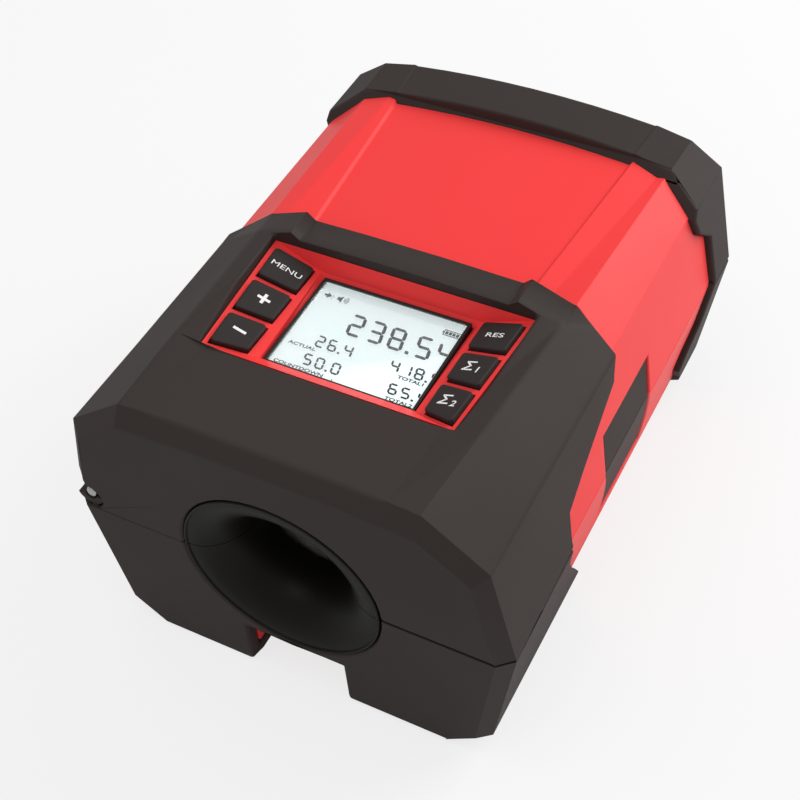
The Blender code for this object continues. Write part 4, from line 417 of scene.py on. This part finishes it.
# %% [markdown]
# ## Rounded edges
#
# Nothing that is moulded has a knife edge: every rim carries a small radius, and the thin line of
# light along it is most of what makes a picture look real. The edges could be rounded one by one.
# A Bevel modifier rounds all of them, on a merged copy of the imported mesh, and each edge's weight
# keeps the radius below the space that its neighbours leave.

# %% Rounded copies
SHARP_ANGLE = math.radians(9.0)
FLAT_ANGLE = math.radians(0.8)
SPACE_SHARE = 0.40
ASIDE_SHARE = 0.2
BUSY_CORNER = 3
BUSY_ROOM = 0.0004
STRAY_SHARE = 0.5
HOOD_REAR = 0.0017
SEAM_DISTANCE = 0.000004


def is_sharp(edge):
    """True where two faces meet at a real angle."""
    return len(edge.link_faces) == 2 and edge.calc_face_angle(0.0) > SHARP_ANGLE


def edge_room(edge):
    """Room for a radius: how far each neighbouring edge leads away sideways, and least where two
    sharp edges close in on each other."""
    room = 1.0
    for vert in edge.verts:
        along = edge.other_vert(vert).co - vert.co
        busy = sum(is_sharp(other) for other in vert.link_edges) > BUSY_CORNER
        for other in vert.link_edges:
            if other is edge:
                continue
            away = other.other_vert(vert).co - vert.co
            turn = along.angle(away)
            across = away.length * math.sin(turn)
            if turn < math.pi / 2.0 or across > ASIDE_SHARE * away.length:
                room = min(room, across, min(along.length, away.length) * math.tan(turn / 2.0))
        if busy:
            room = min(room, BUSY_ROOM)
    return room


def settle(item, tree, radius):
    """Apply the modifiers, then bring every point that strayed beyond the radius back to the nearest
    spot of the unrounded surface."""
    bpy.context.view_layer.update()
    graph = bpy.context.evaluated_depsgraph_get()
    mesh = bpy.data.meshes.new_from_object(item.evaluated_get(graph))
    item.modifiers.clear()
    points = np.zeros(len(mesh.vertices) * 3, np.float32)
    mesh.vertices.foreach_get("co", points)
    points = points.reshape(-1, 3)
    nearest = [tree.find_nearest(point) for point in points.tolist()]
    spots = np.array([found[0] for found in nearest], np.float32)
    stray = np.array([found[3] for found in nearest]) > radius * STRAY_SHARE
    points[stray] = spots[stray]
    mesh.vertices.foreach_set("co", points.ravel())
    mesh.update()
    item.data = mesh
    print(item.name, "points", len(points), "settled", int(stray.sum()))


def rounded(name, radius, steps=3):
    """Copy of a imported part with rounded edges, standing in for it. The front cover's rear rim lies on
    the housing and stays crisp."""
    source = NODES[name]
    shape = bmesh.new()
    shape.from_mesh(source.data)
    bmesh.ops.remove_doubles(shape, verts=shape.verts, dist=SEAM_DISTANCE)
    bmesh.ops.dissolve_limit(shape, angle_limit=FLAT_ANGLE, verts=shape.verts, edges=shape.edges)
    weight = shape.edges.layers.float.new("bevel_weight_edge")
    count = 0
    for edge in shape.edges:
        on_rim = name.startswith("front") and min(vert.co.y for vert in edge.verts) > HOOD_REAR
        if is_sharp(edge) and not on_rim:
            edge[weight] = min(1.0, SPACE_SHARE * edge_room(edge) / radius)
            count += 1
    tree = BVHTree.FromBMesh(shape)
    mesh = bpy.data.meshes.new(name + "_sharp")
    shape.to_mesh(mesh)
    shape.free()
    item = bpy.data.objects.new(name + "_rounded", mesh)
    bpy.context.scene.collection.objects.link(item)
    bevel = item.modifiers.new("rounded edges", "BEVEL")
    bevel.limit_method = "WEIGHT"
    bevel.width = radius
    bevel.segments = steps
    bevel.use_clamp_overlap = False
    settle(item, tree, radius)
    item.data.shade_smooth()
    item.data.materials.append(FINISH_OF[name])
    item.modifiers.new("even shading", "WEIGHTED_NORMAL")
    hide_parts(name)
    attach(item, BODY_OF[name])
    print(name, "rounded edges", count)
    return item


EDGE_RADII = {
    "front_cover_upper": 0.0014, "front_cover_lower": 0.0014,
    "rear_cover_upper": 0.0010, "rear_cover_lower": 0.0010,
    "upper_housing": 0.0007, "lower_housing": 0.0007,
    "side_grip_upper": 0.0008, "side_grip_lower": 0.0008,
}
for name, radius in EDGE_RADII.items():
    rounded(name, radius)

# %% [markdown]
# ## Surfaces from grids
#
# The round and the dished pieces are made anew. Such a surface is a function of two numbers, for
# example the way along a profile and the angle round an axis, so numpy works out all its points at
# once as a table of rows and columns. One helper turns any such table into a mesh, closes its seams
# and poles and turns its faces outwards.

# %% Grid helper
MERGE_DISTANCE = 0.0000005
CREASE_ANGLE = math.radians(40.0)


def grid_mesh(name, grid, closed_rows=False, closed_columns=False, capped=False):
    """Mesh of rows by columns of points; a closed direction joins its end to its start, and capped
    closes the first and the last column with one flat face each."""
    rows, columns = grid.shape[:2]
    index = np.arange(rows * columns).reshape(rows, columns)
    caps = [index[:, 0].tolist(), index[:, -1].tolist()] if capped else []
    if closed_rows:
        index = np.vstack([index, index[:1]])
    if closed_columns:
        index = np.hstack([index, index[:, :1]])
    quads = np.stack([index[:-1, :-1], index[:-1, 1:], index[1:, 1:], index[1:, :-1]], axis=-1)
    mesh = bpy.data.meshes.new(name)
    mesh.from_pydata(grid.reshape(-1, 3).tolist(), [], quads.reshape(-1, 4).tolist() + caps)
    shape = bmesh.new()
    shape.from_mesh(mesh)
    bmesh.ops.remove_doubles(shape, verts=shape.verts, dist=MERGE_DISTANCE)
    bmesh.ops.recalc_face_normals(shape, faces=shape.faces)
    shape.to_mesh(mesh)
    shape.free()
    return mesh


def add_piece(name, mesh, finish, body, stands_for=()):
    """Put a mesh into the scene with its finish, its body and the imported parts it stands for."""
    item = bpy.data.objects.new(name, mesh)
    bpy.context.scene.collection.objects.link(item)
    mesh.materials.clear()
    mesh.materials.append(finish)
    mesh.shade_smooth()
    mesh.set_sharp_from_angle(angle=CREASE_ANGLE)
    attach(item, body)
    if stands_for:
        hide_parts(*stands_for)
    print(name, "faces", len(mesh.polygons))
    return item


# %% [markdown]
# ## Funnels
#
# The cable slides in over a trumpet of smooth black plastic. Its inside is a quarter of an ellipse
# from the mouth to the throat, with a thin round lip outside. A lathe makes such a form, so here a
# profile turns about the cable's axis: half a turn for the lid, half a turn for the base.

# %% Funnels
SPLIT_HEIGHT = 0.0569
HALF_GAP = 0.00015
HALF_LENGTH = 0.096
MOUTH_RADIUS = 0.033
LIP = 0.0005
THROAT_RADIUS = 0.018
FLARE_DEPTH = 0.018
FLARE_STEPS = 40
LIP_STEPS = 10
TURN_STEPS = 72
FUNNEL_BACK = ((0.0340, 0.0047), (0.0270, 0.0047), (0.0270, 0.0104), (0.0224, 0.0126),
               (0.0202, 0.0235), (0.0180, 0.0235))


def funnel_section():
    """Closed section of radius and depth: a half circle for the lip, then radius falls with the sine
    and depth grows with one minus the cosine of the same angle, then the back."""
    lip = np.linspace(0.0, np.pi, LIP_STEPS)
    lip_points = np.stack([MOUTH_RADIUS + LIP + LIP * np.cos(lip), LIP - LIP * np.sin(lip)], axis=1)
    angle = np.linspace(0.0, np.pi / 2.0, FLARE_STEPS)[1:]
    radius = THROAT_RADIUS + (MOUTH_RADIUS - THROAT_RADIUS) * (1.0 - np.sin(angle))
    depth = LIP + (FLARE_DEPTH - LIP) * (1.0 - np.cos(angle))
    flare = np.stack([radius, depth], axis=1)
    return np.vstack([lip_points, flare, np.array(FUNNEL_BACK)[::-1]])


def half_turn(section, upper, front):
    """Section turned half round the cable's axis: x is radius times cosine, height radius times sine."""
    turn = np.linspace(0.0, np.pi, TURN_STEPS) * (1.0 if upper else -1.0)
    radius, depth = section[:, :1], section[:, 1:]
    x = radius * np.cos(turn)
    z = SPLIT_HEIGHT + (HALF_GAP if upper else -HALF_GAP) + radius * np.sin(turn)
    y = (depth - HALF_LENGTH) * (1.0 if front else -1.0) + 0.0 * turn
    return np.stack([x, y, z], axis=-1)


for end, front in (("front", True), ("rear", False)):
    for half_name, upper, body in (("upper", True, "lid"), ("lower", False, "base")):
        label = f"{end}_funnel_{half_name}"
        grid = half_turn(funnel_section(), upper, front)
        mesh = grid_mesh(label, grid, closed_rows=True, capped=True)
        add_piece(label + "_turned", mesh, FUNNEL, body, [label])

# %% [markdown]
# ## Rollers, tyre and pins
#
# The cable lies on four nylon rollers that are hollow towards the middle, so it centres itself. A
# rubber tyre with fine cross grooves rolls on top of it. The hinge pins are turned steel with domed
# ends. All of them are lathe forms: a profile of places along an axis and radii, turned once round.
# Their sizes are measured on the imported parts, so that the new pieces sit exactly where they do.

# %% Lathe forms
PROFILE_STEPS = 25
ROUND_STEPS = 7
WHOLE_TURN_STEPS = 288


def measured(name, axis):
    """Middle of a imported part, half its length along an axis, and its least and greatest radius."""
    mesh = NODES[name].data
    points = np.zeros(len(mesh.vertices) * 3)
    mesh.vertices.foreach_get("co", points)
    points = points.reshape(-1, 3)
    middle = (points.min(axis=0) + points.max(axis=0)) / 2.0
    radii = np.linalg.norm(np.delete(points - middle, axis, axis=1), axis=1)
    half_length = points[:, axis].max() - middle[axis]
    print(name, "half length", round(half_length, 5), "radius", round(radii.max(), 5))
    return middle, half_length, radii.min(), radii.max()


def hub_profile(half_length, bore, waist, end, rim, power):
    """Closed profile round a bore: between two round rims, radius goes from waist to end with a power
    of the share of the way out from the middle."""
    angle = np.linspace(0.0, np.pi / 2.0, ROUND_STEPS)
    rim_along = half_length - rim * (1.0 - np.cos(angle))
    rim_radius = end - rim * (1.0 - np.sin(angle))
    share = np.linspace(-1.0, 1.0, PROFILE_STEPS)[1:-1]
    curve = waist + (end - waist) * np.abs(share) ** power
    along = np.concatenate([[-half_length], -rim_along, share * (half_length - rim), rim_along[::-1],
                            [half_length]])
    radius = np.concatenate([[bore], rim_radius, curve, rim_radius[::-1], [bore]])
    return along, radius


def lathe(label, along, radius, middle, axis, finish, ring):
    """Profile turned round an axis; radius has one row for each place along it, and one column for
    each step of the turn where it varies. A ring's last row joins its first."""
    turn = np.linspace(0.0, 2.0 * np.pi, WHOLE_TURN_STEPS, endpoint=False)
    grid = np.zeros((len(along), WHOLE_TURN_STEPS, 3))
    first, second = [index for index in range(3) if index != axis]
    grid[..., axis] = middle[axis] + along[:, None]
    grid[..., first] = middle[first] + radius * np.cos(turn)
    grid[..., second] = middle[second] + radius * np.sin(turn)
    mesh = grid_mesh(label, grid, closed_rows=ring, closed_columns=True)
    return add_piece(label + "_turned", mesh, finish, BODY_OF[label], [label])


# %% Rollers and tyre
WAIST_SHARE = 0.86
ROLLER_RIM = 0.0006
TYRE_CROWN = 0.0004
TYRE_RIM = 0.0007
TYRE_GROOVES = 36
GROOVE_DEPTH = 0.0005
for number in range(1, 5):
    label = f"guide_roller_{number}"
    middle, half_length, bore, radius = measured(label, 0)
    along, profile = hub_profile(half_length, bore, radius * WAIST_SHARE, radius, ROLLER_RIM, 2.0)
    lathe(label, along, profile[:, None], middle, 0, ROLLER, True)

middle, half_length, bore, radius = measured("wheel_tyre", 0)
along, profile = hub_profile(half_length, bore, radius, radius - TYRE_CROWN, TYRE_RIM, 4.0)
turn = np.linspace(0.0, 2.0 * np.pi, WHOLE_TURN_STEPS, endpoint=False)
groove = GROOVE_DEPTH * np.clip(np.cos(TYRE_GROOVES * turn), 0.0, 1.0)
outer = (profile > bore)[:, None]
lathe("wheel_tyre", along, profile[:, None] - outer * groove, middle, 0, TYRE, True)

# %% Hinge pins
PIN_DOME = 0.0009
for label in ("hinge_pin_front", "hinge_pin_rear"):
    middle, half_length, _, radius = measured(label, 1)
    along, profile = hub_profile(half_length, 0.0, radius, radius, PIN_DOME, 1.0)
    lathe(label, along, profile[:, None], middle, 1, STEEL, False)

# %% [markdown]
# ## Keys
#
# Six rubber-like keys sit on the two sloping bars. A key's outline is four-sided with round
# corners, its sides are straight and its upper rim is a quarter circle. So each row of the grid is
# the outline at one height, drawn in a little more towards the top, and a round stem below ends in
# a pole.

# %% Key outlines
BAR_NORMAL = np.array((0.319852, 0.039404, 0.946648))
BAR_POINT = np.array((-0.0457, -0.0083, 0.1057))
KEY_FIRST_REAR = -0.0117
KEY_INNER_X = 0.0302
KEY_OUTER_X = (0.0437, 0.0408)
KEY_LENGTHS = (0.0118, 0.0131)
KEY_SPACE = 0.0027
KEY_HEIGHT = 0.0016
KEY_ROOT = 0.0016
KEY_RIM = 0.0005
KEY_CORNER = 0.0012
STEM_RADIUS = 0.0024
STEM_LENGTH = 0.0036
RIM_STEPS = 6
TOP_SHARES = (0.85, 0.5, 0.0)


def key_corners(index):
    """Four corners of a left key in plan, from its place in the row, lifted onto the bar's plane."""
    rear = KEY_FIRST_REAR - index * (np.array(KEY_LENGTHS) + KEY_SPACE)
    near = rear - np.array(KEY_LENGTHS)
    run = 3.0 * (KEY_LENGTHS[1] + KEY_SPACE)
    outer = np.interp(KEY_FIRST_REAR - np.array((near[1], rear[1])), (0.0, run), KEY_OUTER_X)
    plan = np.array(((outer[0], near[1]), (KEY_INNER_X, near[0]), (KEY_INNER_X, rear[0]),
                     (outer[1], rear[1])))
    x = -plan[:, 0]
    y = plan[:, 1]
    drop = BAR_NORMAL[0] * (x - BAR_POINT[0]) + BAR_NORMAL[1] * (y - BAR_POINT[1])
    z = BAR_POINT[2] - drop / BAR_NORMAL[2]
    return np.stack([x, y, z], axis=1)


def key_frame(side):
    """Right, up and normal directions of a bar: right lies in the bar and level with the front."""
    normal = BAR_NORMAL * (-side, 1.0, 1.0)
    right = np.cross((0.0, 1.0, 0.0), normal)
    right /= np.linalg.norm(right)
    return right, np.cross(normal, right), normal


def round_outline(corners, inset, steps=8):
    """Outline with round corners: each corner becomes an arc about a centre set in along its
    bisector, and drawing in by inset only shortens the arc's radius."""
    before = np.roll(corners, 1, axis=0) - corners
    after = np.roll(corners, -1, axis=0) - corners
    before /= np.linalg.norm(before, axis=1, keepdims=True)
    after /= np.linalg.norm(after, axis=1, keepdims=True)
    bisector = before + after
    bisector /= np.linalg.norm(bisector, axis=1, keepdims=True)
    half_sine = np.sqrt((1.0 - np.sum(before * after, axis=1, keepdims=True)) / 2.0)
    centre = corners + bisector * KEY_CORNER / half_sine
    first = -before * np.sum(bisector * before, axis=1, keepdims=True) + bisector
    second = -after * np.sum(bisector * after, axis=1, keepdims=True) + bisector
    first /= -np.linalg.norm(first, axis=1, keepdims=True)
    second /= -np.linalg.norm(second, axis=1, keepdims=True)
    share = np.linspace(0.0, 1.0, steps)[None, :, None]
    ray = first[:, None] * (1.0 - share) + second[:, None] * share
    ray /= np.linalg.norm(ray, axis=2, keepdims=True)
    return (centre[:, None] + ray * (KEY_CORNER - inset)).reshape(-1, 2)


# %% Build the keys
def key_grid(side, index):
    """Rows of outlines from the stem's pole up to the middle of the top, and the key's middle."""
    corners = key_corners(index)
    corners[:, 0] *= -side
    right, up, normal = key_frame(side)
    middle = corners.mean(axis=0)
    flat = np.stack([(corners - middle) @ right, (corners - middle) @ up], axis=1)
    full = round_outline(flat, 0.0)
    circle = STEM_RADIUS * full / np.linalg.norm(full, axis=1, keepdims=True)
    arc = np.linspace(0.0, np.pi / 2.0, RIM_STEPS)
    rows = [(circle * 0.0, -KEY_ROOT - STEM_LENGTH), (circle, -KEY_ROOT - STEM_LENGTH),
            (circle, -KEY_ROOT), (full, -KEY_ROOT)]
    rows += [(round_outline(flat, KEY_RIM * (1.0 - math.cos(a))),
              KEY_HEIGHT - KEY_RIM * (1.0 - math.sin(a))) for a in arc]
    top = round_outline(flat, KEY_RIM)
    rows += [(top * share, KEY_HEIGHT) for share in TOP_SHARES]
    outline = np.array([row[0] for row in rows])
    height = np.array([row[1] for row in rows])[:, None, None]
    return middle + outline[..., :1] * right + outline[..., 1:] * up + height * normal, middle


KEY_ROWS = ((-1.0, ("key_menu", "key_plus", "key_minus")),
            (1.0, ("key_reset", "key_total_1", "key_total_2")))
KEY_MIDDLE = {}
for side, names in KEY_ROWS:
    for index, label in enumerate(names):
        grid, KEY_MIDDLE[label] = key_grid(side, index)
        mesh = grid_mesh(label, grid, closed_columns=True)
        add_piece(label + "_moulded", mesh, KEY_RUBBER, label, [label])

# %% [markdown]
# ## Lettering
#
# The keys carry white function words and signs, and the screen small labels. A text object gives
# the letters. It becomes a mesh before it is placed, so that the finished piece sits at the origin
# like every other one, and its letters are widened along the key.

# %% Lettering helper
LETTER_DEPTH = 0.00002


def lettering(name, words, height, spot, right, up, finish, body, wide=1.0, slant=0.0, bold=0.0):
    """Words centred on a spot; a letter's x runs along right and its y along up."""
    curve = bpy.data.curves.new(name, "FONT")
    curve.body = words
    curve.size = 1.0
    curve.shear = slant
    curve.offset = bold
    curve.extrude = LETTER_DEPTH / height
    curve.align_x = "CENTER"
    curve.align_y = "CENTER"
    temporary = bpy.data.objects.new(name, curve)
    bpy.context.scene.collection.objects.link(temporary)
    bpy.context.view_layer.update()
    graph = bpy.context.evaluated_depsgraph_get()
    mesh = bpy.data.meshes.new_from_object(temporary.evaluated_get(graph))
    bpy.data.objects.remove(temporary)
    normal = np.cross(right, up)
    columns = np.stack([np.array(right) * wide, np.array(up), normal], axis=1) * height
    place = np.eye(4)
    place[:3, :3] = columns
    place[:3, 3] = spot
    mesh.transform(Matrix(place.tolist()))
    add_piece(name, mesh, finish, body)


# %% Key legends
# Each row: key, kind, words, height, width factor, boldness, slant, shift right and shift up.
LEGENDS = (("key_menu", "word", "MENU", 0.0028, 1.45, 0.0, 0.0, 0.0, 0.0),
           ("key_plus", "sign", "+", 0.0080, 1.1, 0.02, 0.0, 0.0, 0.0),
           ("key_minus", "sign", "\u2212", 0.0080, 1.1, 0.02, 0.0, 0.0, 0.0),
           ("key_reset", "word", "RES", 0.0027, 1.55, 0.006, 0.0, 0.0, 0.0),
           ("key_total_1", "sum", "\u03a3", 0.0053, 1.15, 0.012, 0.10, -0.0012, 0.0004),
           ("key_total_1", "digit", "1", 0.0034, 1.15, 0.012, 0.10, 0.0024, -0.0009),
           ("key_total_2", "sum", "\u03a3", 0.0053, 1.15, 0.012, 0.10, -0.0012, 0.0004),
           ("key_total_2", "digit", "2", 0.0034, 1.15, 0.012, 0.10, 0.0024, -0.0009))
LEGEND_LIFT = 0.00003
SIDE_OF = {label: side for side, names in KEY_ROWS for label in names}
for label, kind, words, height, wide, bold, slant, shift_right, shift_up in LEGENDS:
    right, up, normal = key_frame(SIDE_OF[label])
    spot = KEY_MIDDLE[label] + normal * (KEY_HEIGHT + LEGEND_LIFT) + right * shift_right + up * shift_up
    lettering(label + "_" + kind, words, height, spot, right, up, LEGEND, label, wide, slant, bold)

# %% [markdown]
# ## Figures on the screen
#
# A liquid crystal figure is made of seven bars with pointed ends. Each bar is a hexagon along a line,
# and a digit is the list of its bars. All figures together are one flat mesh with a little
# thickness, a hair above the panel and below the window.

# %% Seven bars
MILLIMETRE = 0.001
INK_LIFT = 0.00006
FIGURE_EDGE = 24.4
BARS = {"a": (0, 2, 1, 2), "b": (1, 2, 1, 1), "c": (1, 1, 1, 0), "d": (0, 0, 1, 0), "e": (0, 1, 0, 0),
        "f": (0, 2, 0, 1), "g": (0, 1, 1, 1)}
DIGITS = {"0": "abcdef", "1": "bc", "2": "abged", "3": "abgcd", "4": "fgbc", "5": "afgcd",
          "6": "afgedc", "8": "abcdefg"}
LEAN = -0.19
POINT_SHIFT = 0.2
POINT_SIZE = 1.15
BAR_GAP = 0.06


def bar_hexagon(start, end, thick, gap):
    """Hexagon along a line: two points and two shoulders at each end, kept a gap short of it."""
    start, end = np.array(start, float), np.array(end, float)
    along = (end - start) / np.linalg.norm(end - start)
    across = np.array((-along[1], along[0])) * thick / 2.0
    start, end = start + along * gap, end - along * gap
    shoulder = along * thick / 2.0
    return np.array([start, start + shoulder - across, end - shoulder - across, end,
                     end - shoulder + across, start + shoulder + across])


def number_polygons(digits, left, foot, width, height, pitch, thick, point_space):
    """Polygons of a number: bars of each digit and a square for its point, leaning over by LEAN and
    ending at the panel's border."""
    polygons = []
    x = left
    for sign in digits:
        if sign == ".":
            spot = np.array((x - pitch + width + point_space / 2.0 + thick * POINT_SHIFT, 0.0))
            corner = np.array(((0, 0), (1, 0), (1, 1), (0, 1))) * thick * POINT_SIZE
            polygons.append(spot + corner)
            x += point_space
            continue
        for bar in DIGITS[sign]:
            x0, y0, x1, y1 = BARS[bar]
            inner = width - thick
            tall = (height - thick) / 2.0
            start = (x + thick / 2.0 + x0 * inner, thick / 2.0 + y0 * tall)
            end = (x + thick / 2.0 + x1 * inner, thick / 2.0 + y1 * tall)
            polygons.append(bar_hexagon(start, end, thick, thick * BAR_GAP))
        x += pitch
    leaned = []
    for polygon in polygons:
        moved = polygon.copy()
        moved[:, 0] += LEAN * (polygon[:, 1] - height)
        moved[:, 1] += foot
        if moved[:, 0].min() < FIGURE_EDGE:
            moved[:, 0] = np.minimum(moved[:, 0], FIGURE_EDGE)
            leaned.append(moved)
    return leaned


def signs_mesh(name, polygons):
    """Flat mesh of polygons given in millimetres of x and of depth from the front."""
    points = np.vstack(polygons) * MILLIMETRE
    count = [len(polygon) for polygon in polygons]
    start = np.cumsum([0] + count[:-1])
    faces = [list(range(s, s + n)) for s, n in zip(start, count)]
    height = np.full(len(points), PANEL_HEIGHT + INK_LIFT)
    placed = np.stack([points[:, 0], points[:, 1] - HALF_LENGTH, height], axis=1)
    mesh = bpy.data.meshes.new(name)
    mesh.from_pydata(placed.tolist(), [], faces)
    return mesh


# %% Numbers
# Each row: digits, left end, foot, width, height, pitch, thickness and the point's space.
NUMBERS = (("238.54", -10.4, 65.1, 5.2, 9.0, 7.1, 1.08, 2.1),
           ("26.4", -15.8, 56.8, 3.0, 4.8, 4.2, 0.66, 1.3),
           ("50.0", -15.7, 48.8, 3.0, 4.6, 4.2, 0.66, 1.3),
           ("418.5", 10.0, 57.0, 3.0, 4.6, 4.1, 0.66, 1.3),
           ("65.4", 13.7, 48.6, 3.0, 4.3, 4.2, 0.66, 1.3))
numbers = [polygon for row in NUMBERS for polygon in number_polygons(*row)]
print("bars and points", len(numbers))

# %% Small signs
def ring_part(centre, inner, outer, start, end, steps=10):
    """Part of a flat ring between two angles in degrees."""
    angle = np.radians(np.linspace(start, end, steps))
    circle = np.stack([np.cos(angle), np.sin(angle)], axis=1)
    return np.vstack([circle * inner, circle[::-1] * outer]) + centre


def box(x0, y0, x1, y1):
    """Upright rectangle."""
    return np.array(((x0, y0), (x1, y0), (x1, y1), (x0, y1)), float)


SOUND_CENTRE = np.array((-16.5, 78.1))
SOUND_LINE = 0.26
SOUND_SPREAD = 42.0
speaker = np.array(((-18.3, 77.5), (-17.6, 77.5), (-16.6, 76.7), (-16.6, 79.5), (-17.6, 78.7),
                    (-18.3, 78.7)))
arrow = np.array(((-22.9, 77.7), (-21.9, 77.7), (-21.9, 76.9), (-20.3, 78.1), (-21.9, 79.3),
                  (-21.9, 78.5), (-22.9, 78.5)))
signs = [speaker, arrow]
signs += [ring_part(SOUND_CENTRE, radius, radius + SOUND_LINE, -SOUND_SPREAD, SOUND_SPREAD)
          for radius in (0.7, 1.3, 1.9)]
# The boxes: the plug's pins, the battery's outline and terminal, its four bars, and a scale mark.
BOXES = ((-20.0, 78.0, -19.4, 78.2), (-20.1, 77.2, -19.9, 77.6), (-20.1, 78.6, -19.9, 79.0),
         (19.0, 77.0, 24.8, 77.3), (19.0, 79.1, 24.8, 79.4), (24.5, 77.3, 24.8, 79.1),
         (19.0, 77.3, 19.3, 79.1), (18.6, 77.8, 19.0, 78.6),
         (19.6, 77.55, 20.55, 78.85), (20.8, 77.55, 21.75, 78.85), (22.0, 77.55, 22.95, 78.85),
         (23.2, 77.55, 24.15, 78.85), (-3.1, 45.9, -2.8, 46.9))
signs += [box(*corners) for corners in BOXES]
signs.append(np.array(((6.2, 45.9), (6.9, 45.9), (6.55, 46.5))))
figures = add_piece("screen_figures", signs_mesh("screen_figures", numbers + signs), INK, "lid")
thick = figures.modifiers.new("ink thickness", "SOLIDIFY")
thick.thickness = LETTER_DEPTH
thick.offset = -1.0

# %% Screen labels
LABEL_HEIGHT = 0.0017
LABEL_WIDE = 1.45
LABEL_BOLD = 0.022
LABELS = (("actual", "ACTUAL", -18.3, 55.5), ("countdown", "COUNTDOWN", -14.8, 46.9),
          ("total_one", "TOTAL1", 19.1, 55.8), ("total_two", "TOTAL2", 19.4, 46.8))
for label, words, x, depth in LABELS:
    spot = (x * MILLIMETRE, depth * MILLIMETRE - HALF_LENGTH, PANEL_HEIGHT + INK_LIFT)
    lettering("label_" + label, words, LABEL_HEIGHT, spot, (1.0, 0.0, 0.0), (0.0, 1.0, 0.0), INK,
              "lid", LABEL_WIDE, 0.0, LABEL_BOLD)

# %% Sizes and finish
size = {"cad": [list(corner) for corner in model_bounds],
        "visual": [list(corner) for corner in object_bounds()]}
